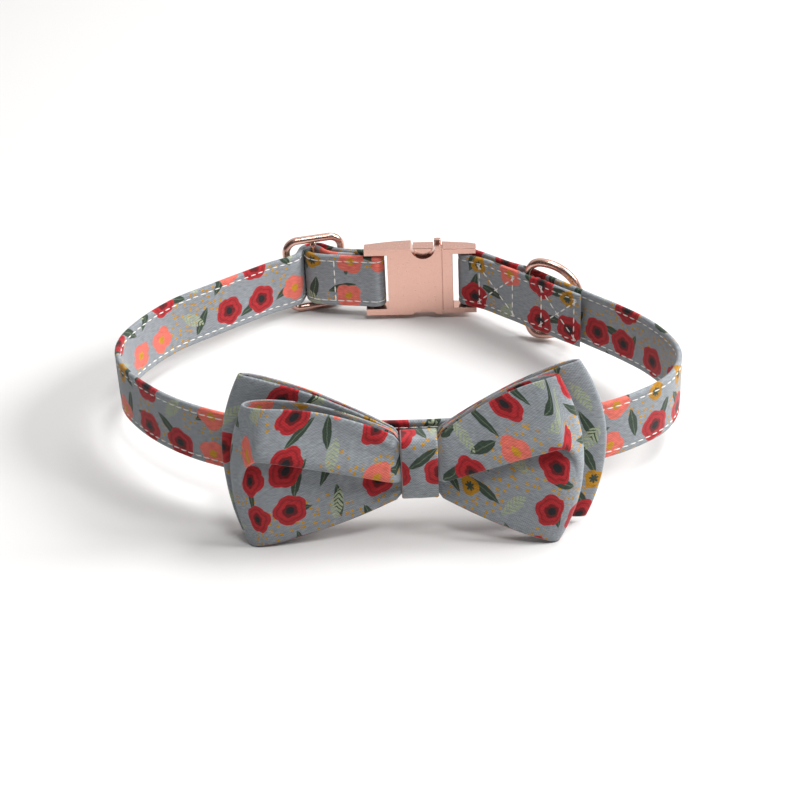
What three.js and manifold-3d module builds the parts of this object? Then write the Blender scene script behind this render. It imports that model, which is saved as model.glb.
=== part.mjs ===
// A pet collar of printed cloth with a bow tie, lying closed on a surface.
// Lengths are in millimetres. The collar is drawn in the frame of its own loop: x runs to
// the wearer's side, y from the bow to the buckle, and z across the strap's width, with the
// strap's lower edge at z = 0. One group then tips the loop back on to the surface, because
// the bow's lower corners hold the front of the strap up.

import * as THREE from "three";
import { mergeVertices } from "three/addons/utils/BufferGeometryUtils.js";
import Module from "manifold-3d";

const wasm = await Module();
wasm.setup();

// Driving dimensions

const GAP = 0.3;
const TIP_BACK_DEG = 5.04;

const STRAP_WIDTH = 20;
const STRAP_THICKNESS = 1.8;
const STRAP_MIDDLE = STRAP_WIDTH / 2;
const STRAP_EDGE_ROUND = 0.7;
const STRAP_LONGEST_STEP = 5;
const STRAP_MOST_TURN_DEG = 15;
const STRAP_BEHIND_BOW_Y = -44.1;

const SLIDER_LENGTH = 22.4;
const SLIDER_HEIGHT = 29.2;
const SLIDER_WIRE = 2.7;
const SLIDER_BAR = 2.1;
const SLIDER_CORNER = 4.2;
const SLIDER_CENTRE = { x: -28.4, y: 72.4, z: 10.55 };
const SLIDER_TURN_DEG = 13;

const BUCKLE_LENGTH = 39.2;
const BUCKLE_HEIGHT = 26;
const BUCKLE_THICKNESS = 7;
const BUCKLE_CENTRE = { x: 9.2, y: 66, z: STRAP_MIDDLE };
const BUCKLE_TURN_DEG = -2.5;
const BUCKLE_SEAM = 7.6;
const BUCKLE_ARM = 2.4;
const BUCKLE_EDGE = 0.5;
const BUCKLE_BAR_RADIUS = 1.25;
const BUCKLE_BAR_INSET = { housing: 3.7, insert: 3 };
const HOUSING_SLOT_END = -11.6;
const INSERT_SLOT_END = 11.4;
const NOTCH_HALF = 4.3;
const NOTCH_ALONG = 1.1;
const NOTCH_DEPTH = { top: 4.0, bottom: 1.8 };
const PAD_HALF = 3.6;
const PAD_DEPTH = { top: 2.0, bottom: 1.1 };
const PAD_THICKNESS = 5.2;
const STEM_HALF = 2.1;
const TONGUE_REACH = 1.2;
const TONGUE_HALF_HEIGHT = 12;
const TONGUE_INNER = -2.3;
const PRONG_THICKNESS = 3;
const PRONG_DEPTH = 4.2;
const PRONG_TIP = -6;
const PRONG_PLAY = 1.5;
const TAB_HEIGHT = 1.3;
const TAB_FRONT = 2.7;
const TAB_BACK = 0.5;
const SINK_IN = 1;

const D_RING_HEIGHT = 31;
const D_RING_DEPTH = 21;
const D_RING_WIRE = 3;
const D_RING_BAR = 2.4;
const D_RING_CORNER = 4.5;
const D_RING_BAR_PLACE = { x: 45.7, y: 48.2, z: 9.7 };
const D_RING_TURN_DEG = -17;
const STRAP_TURN_AT_D_RING_DEG = -45.5;

const CLOTH_WALL = 1.1;
const BOW_MIDDLE_X = 4.9;
const PINCH_MIDDLE_Z = 9.2;
const PINCH_HALF_HEIGHT = 8.7;
const PINCH_HALF_WIDTH = 5.4;
const PINCH_HALF_DEPTH = 0.7;
const SHOULDER_HEIGHT = 1.6;
const MOUTH_SPREAD = 1.3;
const OUTER_FOLD_SHARPNESS = 10;
const PLEAT_DEPTH = 1.3;
const PLEAT_REACH = 7;
const PLEAT_UNDER = 0.9;
const PLEAT_LIP = 0.025;
const PLEAT_SPREAD = 1.3;
const PLEAT_BEGINS = [0, 0.14];
const PLEAT_ENDS = [0.8, 0.98];
const PLEAT_START_Z = 7.2;
const PLEAT_END_Z = 19.6;

const BAND_WIDTH = 10;
const BAND_WALL = 1;
const BAND_HALF_HEIGHT = 10.6;
const BAND_FRONT_Y = -55.75;
const BAND_BACK_Y = -46.8;
const BAND_SWELL = 0.7;
const BAND_FLATNESS = { deep: 0.32, high: 0.5 };

const PAD_WIDTH = 8;
const PAD_HEIGHT = 12;

// The middle of the strap's thickness on its long way round the neck, from the slider to
// the place where the second layer of the far end begins
const LONG_WAY_ROUND = [
  { x: -43.5, y: 63.0 },
  { x: -49.7, y: 58.5 },
  { x: -62.8, y: 48.5 },
  { x: -75.5, y: 38.2 },
  { x: -84.2, y: 26.4 },
  { x: -89.4, y: 14.9 },
  { x: -90.1, y: 6.5 },
  { x: -88.2, y: -1.8 },
  { x: -82.4, y: -11.7 },
  { x: -71.8, y: -23.3 },
  { x: -58.7, y: -32.6 },
  { x: -44.6, y: -38.8 },
  { x: -22.0, y: -42.6 },
  { x: 6.0, y: STRAP_BEHIND_BOW_Y },
  { x: 30.0, y: -43.4 },
  { x: 48.0, y: -41.7 },
  { x: 60.2, y: -38.9 },
  { x: 72.6, y: -32.7 },
  { x: 82.2, y: -24.7 },
  { x: 87.2, y: -15.0 },
  { x: 88.0, y: -7.0 },
  { x: 86.0, y: 1.3 },
  { x: 81.2, y: 11.1 },
  { x: 73.0, y: 21.6 },
  { x: 64.3, y: 31.0 },
  { x: 55.8, y: 40.5 },
];

// The buckle's outer side is curved: its thickness at places along it
const BUCKLE_PROFILE = [
  { along: -19.6, thickness: 4.3 },
  { along: -13.0, thickness: 5.8 },
  { along: -6.0, thickness: 6.8 },
  { along: 0.5, thickness: 7.0 },
  { along: 7.6, thickness: 6.3 },
  { along: 13.0, thickness: 5.5 },
  { along: 17.0, thickness: 4.9 },
  { along: 19.6, thickness: 4.0 },
];

// The doubled stretches, in the same way: each layer from one turn to the next
const TAIL_AT_SLIDER = [
  { along: 13.2, out: -8.3 },
  { along: 9.8, out: -6.5 },
  { along: 6.2, out: -4.9 },
  { along: 3.5, out: -1.9 },
];
const INNER_LAYER_AT_SLIDER = [
  { along: -1.3, out: -3.1 },
  { along: 2.2, out: -5.4 },
  { along: 8.2, out: -8.1 },
  { along: 14.3, out: -10.7 },
];
const OUTER_LAYER_AT_SLIDER = [
  { along: 9.6, out: -3.3 },
  { along: 5.9, out: 0.1 },
  { along: 3.2, out: 3.5 },
  { along: 0.0, out: 4.5 },
  { along: -3.3, out: 3.2 },
  { along: -4.9, out: 0.5 },
  { along: -6.3, out: -2.0 },
  { along: -9.2, out: -3.5 },
];
const OUTER_LAYER_AT_D_RING = [
  { x: 39.9, y: 55.6 },
  { x: 33.8, y: 61.4 },
];
const INNER_LAYER_AT_D_RING = [
  { x: 31.6, y: 58.6 },
  { x: 37.0, y: 53.4 },
];
const FOLDED_END = [
  { x: 49.9, y: 41.3 },
  { x: 55.9, y: 34.9 },
  { x: 61.7, y: 29.2 },
];

// The wings of the two bows: how far each reaches from the bow's middle, where its upper
// and lower corners are, how soon its rims spread from the pinch, and how wide its hollow
// is open
const WINGS = {
  bow_front: {
    pinchY: -52.65,
    pleated: true,
    left: {
      reach: 55.4, reachTop: 50.6, reachBottom: 51.4,
      topY: -50.2, topZ: 31.3, topSpread: 2.2,
      bottomY: -54.4, bottomZ: -15.0, bottomSpread: 1.35,
      mouthTop: 3.1, mouthBottom: 1.9, belly: 2.6,
    },
    right: {
      reach: 48.2, reachTop: 41.2, reachBottom: 40.8,
      topY: -47.8, topZ: 35.2, topSpread: 1.6,
      bottomY: -58.2, bottomZ: -15.3, bottomSpread: 1.1,
      mouthTop: 1.5, mouthBottom: 2.2, belly: 3.4,
    },
  },
  bow_back: {
    pinchY: -49.85,
    pleated: false,
    left: {
      reach: 58.0, reachTop: 51.4, reachBottom: 54.2,
      topY: -43.6, topZ: 37.6, topSpread: 1.25,
      bottomY: -48.6, bottomZ: -13.6, bottomSpread: 1.35,
      mouthTop: 1.5, mouthBottom: 1.3, belly: 0,
    },
    right: {
      reach: 55.5, reachTop: 47.8, reachBottom: 49.6,
      topY: -42.9, topZ: 37.2, topSpread: 1.25,
      bottomY: -50.8, bottomZ: -12.0, bottomSpread: 1.35,
      mouthTop: 1.3, mouthBottom: 1.3, belly: 0,
    },
  },
};
const WING_STATIONS = [0, 0.04, 0.14, 0.28, 0.44, 0.6, 0.75, 0.87, 0.945, 0.985, 1];
const BOW_ROWS = 12;

// Small helpers

const lerp = THREE.MathUtils.lerp;
const smoothstep = THREE.MathUtils.smoothstep;
const radians = THREE.MathUtils.degToRad;

// A point in the frame of a turned piece: along it, out from the neck, and up
function placed(place, turnDeg, along, out, up = 0) {
  const turn = radians(turnDeg);
  return new THREE.Vector3(
    place.x + along * Math.cos(turn) - out * Math.sin(turn),
    place.y + along * Math.sin(turn) + out * Math.cos(turn),
    (place.z ?? 0) + up,
  );
}

// Points on part of a circle seen from above
function arc(centre, radius, fromDeg, toDeg, steps) {
  const points = [];
  for (let i = 0; i <= steps; i += 1) {
    const angle = radians(lerp(fromDeg, toDeg, i / steps));
    points.push(new THREE.Vector3(
      centre.x + radius * Math.cos(angle),
      centre.y + radius * Math.sin(angle),
      0,
    ));
  }
  return points;
}

// A geometry from corner points and triangles, turned inside out if its volume is negative
function solidFrom(points, triangles) {
  let volume = 0;
  for (const [a, b, c] of triangles) {
    volume += points[a].dot(new THREE.Vector3().crossVectors(points[b], points[c]));
  }
  const faces = volume < 0 ? triangles.map(([a, b, c]) => [a, c, b]) : triangles;
  const geometry = new THREE.BufferGeometry();
  geometry.setAttribute(
    "position",
    new THREE.Float32BufferAttribute(points.flatMap((p) => [p.x, p.y, p.z]), 3),
  );
  geometry.setIndex(faces.flat());
  geometry.computeVertexNormals();
  return geometry;
}

// A solid through sections that all have the same number of points. It closes on itself, or
// has a flat cap at each end.
function throughSections(sections, closesOnItself) {
  const count = sections.length;
  const sides = sections[0].length;
  const points = sections.flat();
  const triangles = [];
  const joins = closesOnItself ? count : count - 1;
  for (let i = 0; i < joins; i += 1) {
    const next = (i + 1) % count;
    for (let j = 0; j < sides; j += 1) {
      const k = (j + 1) % sides;
      const a = i * sides + j;
      const b = i * sides + k;
      const c = next * sides + k;
      const d = next * sides + j;
      triangles.push([a, b, c], [a, c, d]);
    }
  }
  if (!closesOnItself) {
    const last = (count - 1) * sides;
    for (let j = 1; j < sides - 1; j += 1) {
      triangles.push([0, j + 1, j], [last, last + j, last + j + 1]);
    }
  }
  return solidFrom(points, triangles);
}

// A cloth loop with its wall: the grid holds the middle of the wall, its stations run round
// the loop and its rows run from one open rim to the other
function clothLoop(grid, wall) {
  const count = grid.length;
  const rows = grid[0].length;
  const sections = grid.map((station, i) => {
    const before = grid[(i + count - 1) % count];
    const after = grid[(i + 1) % count];
    const inside = [];
    const outside = [];
    for (let j = 0; j < rows; j += 1) {
      const around = after[j].clone().sub(before[j]);
      const across = station[Math.min(j + 1, rows - 1)].clone().sub(station[Math.max(j - 1, 0)]);
      const normal = around.cross(across).normalize().multiplyScalar(wall / 2);
      outside.push(station[j].clone().add(normal));
      inside.push(station[j].clone().sub(normal));
    }
    return [...outside, ...inside.reverse()];
  });
  return throughSections(sections, true);
}

// Joins and cuts solids, each given as a geometry
function asManifold(geometry) {
  const bare = geometry.clone();
  bare.deleteAttribute("normal");
  bare.deleteAttribute("uv");
  const merged = mergeVertices(bare, 1e-4);
  return new wasm.Manifold(new wasm.Mesh({
    numProp: 3,
    vertProperties: new Float32Array(merged.attributes.position.array),
    triVerts: new Uint32Array(merged.index.array),
  }));
}

function combined(base, { added = [], cutAway = [] }) {
  let result = asManifold(base);
  for (const piece of added) {
    result = result.add(asManifold(piece));
  }
  for (const piece of cutAway) {
    result = result.subtract(asManifold(piece));
  }
  const mesh = result.getMesh();
  const geometry = new THREE.BufferGeometry();
  geometry.setAttribute("position", new THREE.BufferAttribute(mesh.vertProperties, 3));
  geometry.setIndex(new THREE.BufferAttribute(mesh.triVerts, 1));
  geometry.computeVertexNormals();
  return geometry;
}

// A box from its low to its high corner
function boxBetween(low, high) {
  const box = new THREE.BoxGeometry(high[0] - low[0], high[1] - low[1], high[2] - low[2]);
  return box.translate((low[0] + high[0]) / 2, (low[1] + high[1]) / 2, (low[2] + high[2]) / 2);
}

// A round bar that stands along z
function uprightBar(along, radius, height, sides) {
  return new THREE.CylinderGeometry(radius, radius, height, sides)
    .rotateX(Math.PI / 2)
    .translate(along, 0, 0);
}

function meshOf(name, geometry, colour, roughness, metalness) {
  const material = new THREE.MeshStandardMaterial({ color: colour, roughness, metalness });
  const mesh = new THREE.Mesh(geometry, material);
  mesh.name = name;
  return mesh;
}

const cloth = (name, geometry) => meshOf(name, geometry, 0xa9b0ba, 0.85, 0);
const roseGold = (name, geometry) => meshOf(name, geometry, 0xdca896, 0.28, 1);

// The strap

const barLoopRadius = BUCKLE_BAR_RADIUS + GAP + STRAP_THICKNESS / 2;
const sliderLoopRadius = SLIDER_WIRE / 2 + GAP + STRAP_THICKNESS / 2;
const leftBarAlong = BUCKLE_BAR_INSET.housing - BUCKLE_LENGTH / 2;
const rightBarAlong = BUCKLE_LENGTH / 2 - BUCKLE_BAR_INSET.insert;
const leftBar = placed(BUCKLE_CENTRE, BUCKLE_TURN_DEG, leftBarAlong, 0);
const rightBar = placed(BUCKLE_CENTRE, BUCKLE_TURN_DEG, rightBarAlong, 0);
const dRingBar = new THREE.Vector3(D_RING_BAR_PLACE.x, D_RING_BAR_PLACE.y, 0);

const flat = (row) => new THREE.Vector3(row.x, row.y, 0);
const bySlider = (row) => placed({ ...SLIDER_CENTRE, z: 0 }, SLIDER_TURN_DEG, row.along, row.out);

// A point of the strap beside the D-ring's bar, on the side given by out
const besideDRingBar = (along, out) => placed(dRingBar, STRAP_TURN_AT_D_RING_DEG, along, out);

function strapRoute() {
  const clear = D_RING_BAR / 2 + GAP + STRAP_THICKNESS / 2;
  const points = [
    ...TAIL_AT_SLIDER.map(bySlider),
    ...arc(bySlider({ along: 0, out: 0 }), sliderLoopRadius, 38, 195, 6),
    ...INNER_LAYER_AT_SLIDER.map(bySlider),
    ...arc(leftBar, barLoopRadius, -98, 80, 9),
    ...OUTER_LAYER_AT_SLIDER.map(bySlider),
    ...LONG_WAY_ROUND.map(flat),
    besideDRingBar(2, clear),
    besideDRingBar(-2, clear),
    ...OUTER_LAYER_AT_D_RING.map(flat),
    ...arc(rightBar, barLoopRadius, 50, 240, 9),
    ...INNER_LAYER_AT_D_RING.map(flat),
    besideDRingBar(-2, -clear),
    besideDRingBar(2, -clear),
    ...FOLDED_END.map(flat),
  ];
  return new THREE.CatmullRomCurve3(points, false, "centripetal");
}

// Places along the route, close together only where it turns
function strapStations(route) {
  const samples = 2400;
  const length = route.getLength();
  route.arcLengthDivisions = samples;
  const stations = [];
  let lastAt = -Infinity;
  let lastDirection = null;
  for (let i = 0; i <= samples; i += 1) {
    const t = i / samples;
    const direction = route.getTangentAt(t);
    const at = t * length;
    const turned = lastDirection ? THREE.MathUtils.radToDeg(direction.angleTo(lastDirection)) : 0;
    if (at - lastAt >= STRAP_LONGEST_STEP || turned >= STRAP_MOST_TURN_DEG || i === samples) {
      stations.push({ point: route.getPointAt(t), direction });
      lastAt = at;
      lastDirection = direction;
    }
  }
  return stations;
}

function strapSection({ point, direction }) {
  const half = STRAP_THICKNESS / 2;
  const outline = [
    [half, STRAP_EDGE_ROUND],
    [half, STRAP_WIDTH - STRAP_EDGE_ROUND],
    [half / 2, STRAP_WIDTH],
    [-half / 2, STRAP_WIDTH],
    [-half, STRAP_WIDTH - STRAP_EDGE_ROUND],
    [-half, STRAP_EDGE_ROUND],
    [-half / 2, 0],
    [half / 2, 0],
  ];
  const out = new THREE.Vector3(direction.y, -direction.x, 0).normalize();
  return outline.map(([across, up]) => (
    point.clone().addScaledVector(out, across).add(new THREE.Vector3(0, 0, up))
  ));
}

function collarStrap() {
  const sections = strapStations(strapRoute()).map(strapSection);
  return cloth("collar_strap", throughSections(sections, false));
}

// The wire pieces

// A wire whose middle line lies in a plane: each row holds the place along and up, the
// direction of the wire there and its radius
function closedWire(rows, sides) {
  const sections = rows.map(({ along, up, direction, radius }) => {
    const section = [];
    for (let k = 0; k < sides; k += 1) {
      const angle = (2 * Math.PI * k) / sides;
      const inPlane = radius * Math.cos(angle);
      section.push(new THREE.Vector3(
        along + inPlane * Math.sin(direction),
        radius * Math.sin(angle),
        up - inPlane * Math.cos(direction),
      ));
    }
    return section;
  });
  return throughSections(sections, true);
}

// Rows of a wire on part of a circle, with its direction along the circle
function wireArc(centreAlong, centreUp, radius, fromDeg, toDeg, steps, wireRadius) {
  const rows = [];
  for (let i = 0; i <= steps; i += 1) {
    const angle = radians(lerp(fromDeg, toDeg, i / steps));
    rows.push({
      along: centreAlong + radius * Math.cos(angle),
      up: centreUp + radius * Math.sin(angle),
      direction: angle + Math.PI / 2,
      radius: wireRadius,
    });
  }
  return rows;
}

function slider() {
  const wire = SLIDER_WIRE / 2;
  const halfLength = SLIDER_LENGTH / 2 - wire - SLIDER_CORNER;
  const halfHeight = SLIDER_HEIGHT / 2 - wire - SLIDER_CORNER;
  const corners = [
    { along: halfLength, up: halfHeight, fromDeg: 0 },
    { along: -halfLength, up: halfHeight, fromDeg: 90 },
    { along: -halfLength, up: -halfHeight, fromDeg: 180 },
    { along: halfLength, up: -halfHeight, fromDeg: 270 },
  ];
  const rows = corners.flatMap(({ along, up, fromDeg }) => (
    wireArc(along, up, SLIDER_CORNER, fromDeg, fromDeg + 90, 4, wire)
  ));
  const centreBar = uprightBar(0, SLIDER_BAR / 2, SLIDER_HEIGHT - SLIDER_WIRE, 8);
  const mesh = roseGold("slider", combined(closedWire(rows, 8), { added: [centreBar] }));
  mesh.position.set(SLIDER_CENTRE.x, SLIDER_CENTRE.y, SLIDER_CENTRE.z);
  mesh.rotation.z = radians(SLIDER_TURN_DEG);
  return mesh;
}

// The straight bar, two rounded corners and the bow of the ring
function dRing() {
  const wire = D_RING_WIRE / 2;
  const bar = D_RING_BAR / 2;
  const bowRadius = D_RING_HEIGHT / 2 - wire;
  const bowCentre = D_RING_DEPTH - bar - wire - bowRadius;
  const cornerUp = Math.sqrt((bowRadius - D_RING_CORNER) ** 2 - (D_RING_CORNER - bowCentre) ** 2);
  const tangentDeg = THREE.MathUtils.radToDeg(Math.atan2(cornerUp, D_RING_CORNER - bowCentre));
  const rows = [
    ...wireArc(bowCentre, 0, bowRadius, -tangentDeg, tangentDeg, 16, wire),
    ...wireArc(D_RING_CORNER, cornerUp, D_RING_CORNER, tangentDeg, 180, 5, wire).slice(1),
    ...wireArc(D_RING_CORNER, -cornerUp, D_RING_CORNER, 180, 360 - tangentDeg, 5, wire).slice(0, -1),
  ];
  for (const row of rows) {
    row.radius = lerp(bar, wire, smoothstep(row.along, 0, D_RING_CORNER / 2));
  }
  const mesh = roseGold("d_ring", closedWire(rows, 10));
  mesh.position.set(D_RING_BAR_PLACE.x, D_RING_BAR_PLACE.y, D_RING_BAR_PLACE.z);
  mesh.rotation.z = radians(D_RING_TURN_DEG);
  return mesh;
}

// The buckle

// Part of a circle over a chord, as points of an outline. The chord is centred on the notch, at
// the given height, and the arc is as deep as given, towards the buckle's middle.
function chordArc(half, depth, up, fromLeft) {
  const steps = 14;
  const side = Math.sign(up);
  const radius = (half * half + depth * depth) / (2 * depth);
  const swing = Math.asin(half / radius);
  const points = [];
  for (let i = 0; i <= steps; i += 1) {
    const share = fromLeft ? i / steps : 1 - i / steps;
    const turn = lerp(-swing, swing, share);
    points.push(new THREE.Vector2(
      NOTCH_ALONG + radius * Math.sin(turn),
      up - side * (depth - radius + radius * Math.cos(turn)),
    ));
  }
  return points;
}

// What lies outside the curved outer side
function outsideOfBuckle() {
  const innerFace = -BUCKLE_THICKNESS / 2;
  const beyond = BUCKLE_THICKNESS;
  const shape = new THREE.Shape();
  shape.moveTo(-BUCKLE_LENGTH, beyond);
  shape.lineTo(-BUCKLE_LENGTH, innerFace + BUCKLE_PROFILE[0].thickness);
  for (const { along, thickness } of BUCKLE_PROFILE) {
    shape.lineTo(along, innerFace + thickness);
  }
  shape.lineTo(BUCKLE_LENGTH, innerFace + BUCKLE_PROFILE.at(-1).thickness);
  shape.lineTo(BUCKLE_LENGTH, beyond);
  shape.closePath();
  const depth = 2 * BUCKLE_HEIGHT;
  return new THREE.ExtrudeGeometry(shape, { depth, bevelEnabled: false })
    .translate(0, 0, -depth / 2);
}

// A plate whose outline is drawn along the buckle and up, as thick as the buckle
function bucklePlate(shape) {
  const plate = new THREE.ExtrudeGeometry(shape, {
    depth: BUCKLE_THICKNESS - 2 * BUCKLE_EDGE,
    bevelThickness: BUCKLE_EDGE,
    bevelSize: BUCKLE_EDGE,
    bevelOffset: -BUCKLE_EDGE,
    bevelSegments: 1,
    curveSegments: 10,
  });
  return plate.translate(0, 0, BUCKLE_EDGE - BUCKLE_THICKNESS / 2).rotateX(Math.PI / 2);
}

function buckleHousing() {
  const top = BUCKLE_HEIGHT / 2;
  const end = -BUCKLE_LENGTH / 2;
  const arm = top - BUCKLE_ARM;
  const shape = new THREE.Shape();
  shape.moveTo(end, top);
  shape.lineTo(end, arm);
  shape.lineTo(HOUSING_SLOT_END, arm);
  shape.lineTo(HOUSING_SLOT_END, -arm);
  shape.lineTo(end, -arm);
  shape.lineTo(end, -top);
  for (const point of chordArc(NOTCH_HALF, NOTCH_DEPTH.bottom, -top, true)) {
    shape.lineTo(point.x, point.y);
  }
  shape.lineTo(BUCKLE_SEAM - GAP / 2, -top);
  shape.lineTo(BUCKLE_SEAM - GAP / 2, top);
  for (const point of chordArc(NOTCH_HALF, NOTCH_DEPTH.top, top, false)) {
    shape.lineTo(point.x, point.y);
  }
  shape.closePath();
  const bar = uprightBar(leftBarAlong, BUCKLE_BAR_RADIUS, 2 * arm + SINK_IN, 10);
  const tab = boxBetween(
    [NOTCH_ALONG + PAD_HALF + GAP, TAB_BACK, top - 2 * SINK_IN],
    [BUCKLE_SEAM - GAP, TAB_FRONT, top + TAB_HEIGHT],
  );
  const halfThick = PRONG_THICKNESS / 2 + GAP;
  const hollow = boxBetween(
    [PRONG_TIP - PRONG_PLAY, -halfThick, GAP - arm],
    [BUCKLE_SEAM + SINK_IN, halfThick, arm - GAP],
  );
  const stemSlot = boxBetween(
    [NOTCH_ALONG - STEM_HALF - GAP, -halfThick, -top],
    [NOTCH_ALONG + STEM_HALF + GAP, halfThick, -arm + 2 * GAP],
  );
  const socket = boxBetween(
    [BUCKLE_SEAM - TONGUE_REACH - GAP, TONGUE_INNER - GAP, -TONGUE_HALF_HEIGHT - GAP],
    [BUCKLE_SEAM + SINK_IN, halfThick, TONGUE_HALF_HEIGHT + GAP],
  );
  const curved = combined(bucklePlate(shape), { cutAway: [outsideOfBuckle()] });
  const geometry = combined(curved, { added: [bar, tab], cutAway: [hollow, socket, stemSlot] });
  return roseGold("buckle_housing", geometry);
}

function buckleInsert() {
  const top = BUCKLE_HEIGHT / 2 - GAP;
  const end = BUCKLE_LENGTH / 2;
  const arm = BUCKLE_HEIGHT / 2 - BUCKLE_ARM;
  const start = BUCKLE_SEAM + GAP / 2;
  const shape = new THREE.Shape();
  shape.moveTo(start, top);
  shape.lineTo(start, -top);
  shape.lineTo(end, -top);
  shape.lineTo(end, -arm);
  shape.lineTo(INSERT_SLOT_END, -arm);
  shape.lineTo(INSERT_SLOT_END, arm);
  shape.lineTo(end, arm);
  shape.lineTo(end, top);
  shape.closePath();
  const prongTop = arm - 2 * GAP;
  const half = PRONG_THICKNESS / 2;
  const added = [
    uprightBar(rightBarAlong, BUCKLE_BAR_RADIUS, 2 * arm + SINK_IN, 10),
    boxBetween(
      [BUCKLE_SEAM - TONGUE_REACH, TONGUE_INNER, -TONGUE_HALF_HEIGHT],
      [start + SINK_IN, half, TONGUE_HALF_HEIGHT],
    ),
  ];
  for (const side of [-1, 1]) {
    const from = side > 0 ? prongTop - PRONG_DEPTH : -prongTop;
    added.push(boxBetween([PRONG_TIP, -half, from], [start + SINK_IN, half, from + PRONG_DEPTH]));
    const padDepth = side > 0 ? PAD_DEPTH.top : PAD_DEPTH.bottom;
    const pad = new THREE.Shape(chordArc(PAD_HALF, padDepth, side * top, true));
    const depth = PAD_THICKNESS;
    added.push(new THREE.ExtrudeGeometry(pad, { depth, bevelEnabled: false })
      .translate(0, 0, -depth / 2)
      .rotateX(Math.PI / 2));
    const reach = [side * (prongTop - SINK_IN), side * (top - SINK_IN / 2)];
    added.push(boxBetween(
      [NOTCH_ALONG - STEM_HALF, -half, Math.min(...reach)],
      [NOTCH_ALONG + STEM_HALF, half, Math.max(...reach)],
    ));
  }
  const curved = combined(bucklePlate(shape), { cutAway: [outsideOfBuckle()] });
  return roseGold("buckle_insert", combined(curved, { added }));
}

// The bows

// How open the wing's hollow is at a place, ahead of (-1) or behind (1) the wing's middle
function wingDepth(wing, u, v, face) {
  const mouth = lerp(wing.mouthBottom, wing.mouthTop, (v + 1) / 2);
  const belly = face < 0 ? wing.belly * (1 - v * v) : 0;
  const open = lerp(PINCH_HALF_DEPTH, mouth + belly, u ** MOUTH_SPREAD);
  return open * Math.sqrt(1 - u ** OUTER_FOLD_SHARPNESS);
}

// How far a rim has spread from the pinch on its way to the wing's corner
function rimZ(wing, u, side) {
  const outer = side > 0 ? wing.topZ : wing.bottomZ;
  const spread = side > 0 ? wing.topSpread : wing.bottomSpread;
  const shoulder = SHOULDER_HEIGHT * smoothstep(u, 0, WING_STATIONS[1]);
  const inner = PINCH_MIDDLE_Z + side * (PINCH_HALF_HEIGHT + shoulder);
  return lerp(inner, outer, 1 - (1 - u) ** spread);
}

// A place on the middle of a wing's wall: u runs from the pinch to the outer fold and the
// rows from the lower rim to the upper rim
function wingPoint(bow, side, u, row, face) {
  const wing = side < 0 ? bow.left : bow.right;
  const ease = u * (2 - u);
  const top = rimZ(wing, u, 1);
  const bottom = rimZ(wing, u, -1);
  const middle = (top + bottom) / 2;
  const halfHeight = (top - bottom) / 2;
  const pleat = bow.pleated && face < 0
    ? smoothstep(u, ...PLEAT_BEGINS) * (1 - smoothstep(u, ...PLEAT_ENDS))
    : 0;
  const pleatZ = lerp(PLEAT_START_Z, PLEAT_END_Z, 1 - (1 - u) ** PLEAT_SPREAD);
  const v = rowPlace(row, (pleatZ - middle) / halfHeight, pleat);
  const z = middle + halfHeight * v;
  const corner = v > 0 ? wing.reachTop : wing.reachBottom;
  const reach = lerp(wing.reach, corner, v * v);
  const outerY = lerp(wing.bottomY, wing.topY, (v + 1) / 2);
  const y = lerp(bow.pinchY, outerY, ease) + face * wingDepth(wing, u, v, face);
  const fall = Math.exp(-Math.abs(z - pleatZ) / PLEAT_REACH);
  const upper = row >= BOW_ROWS / 2;
  const shift = upper ? -PLEAT_DEPTH * fall : PLEAT_UNDER * fall;
  const x = BOW_MIDDLE_X + side * lerp(PINCH_HALF_WIDTH, reach, u);
  return new THREE.Vector3(x, y + pleat * shift, z);
}

// Rows are spread evenly, but on a pleated layer half of them end at the pleat's lip
function rowPlace(row, pleatV, pleat) {
  const even = -1 + (2 * row) / (BOW_ROWS - 1);
  const half = BOW_ROWS / 2;
  const split = row < half
    ? lerp(-1, pleatV - PLEAT_LIP, row / (half - 1))
    : lerp(pleatV + PLEAT_LIP, 1, (row - half) / (half - 1));
  return lerp(even, split, pleat);
}

function bow(name) {
  const shape = WINGS[name];
  const stations = [];
  const inward = [...WING_STATIONS].reverse();
  for (const face of [-1, 1]) {
    const first = face < 0 ? -1 : 1;
    stations.push(...inward.map((u) => ({ u, side: first, face })));
    stations.push(...WING_STATIONS.slice(0, -1).map((u) => ({ u, side: -first, face })));
  }
  const grid = stations.map(({ u, side, face }) => {
    const column = [];
    for (let row = 0; row < BOW_ROWS; row += 1) {
      column.push(wingPoint(shape, side, u, row, face));
    }
    return column;
  });
  return cloth(name, clothLoop(grid, CLOTH_WALL));
}

// The band round the middle of both bows: a rounded loop that swells a little at its front
function bowBand() {
  const steps = 26;
  const rows = 5;
  const halfDepth = (BAND_BACK_Y - BAND_FRONT_Y - BAND_WALL) / 2;
  const middleY = (BAND_BACK_Y + BAND_FRONT_Y) / 2;
  const halfHeight = BAND_HALF_HEIGHT - BAND_WALL / 2;
  const grid = [];
  for (let i = 0; i < steps; i += 1) {
    const angle = (2 * Math.PI * i) / steps;
    const column = [];
    for (let row = 0; row < rows; row += 1) {
      const across = lerp(-1, 1, row / (rows - 1));
      const sine = Math.sin(angle);
      const cosine = Math.cos(angle);
      const out = Math.sign(cosine) * Math.abs(cosine) ** BAND_FLATNESS.deep;
      const up = Math.sign(sine) * Math.abs(sine) ** BAND_FLATNESS.high;
      const swell = cosine < 0 ? -BAND_SWELL * (1 - across * across) * cosine * cosine : 0;
      column.push(new THREE.Vector3(
        BOW_MIDDLE_X + (across * BAND_WIDTH) / 2,
        middleY + halfDepth * out + swell,
        PINCH_MIDDLE_Z + halfHeight * up,
      ));
    }
    grid.push(column);
  }
  return cloth("bow_band", clothLoop(grid, BAND_WALL));
}

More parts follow.
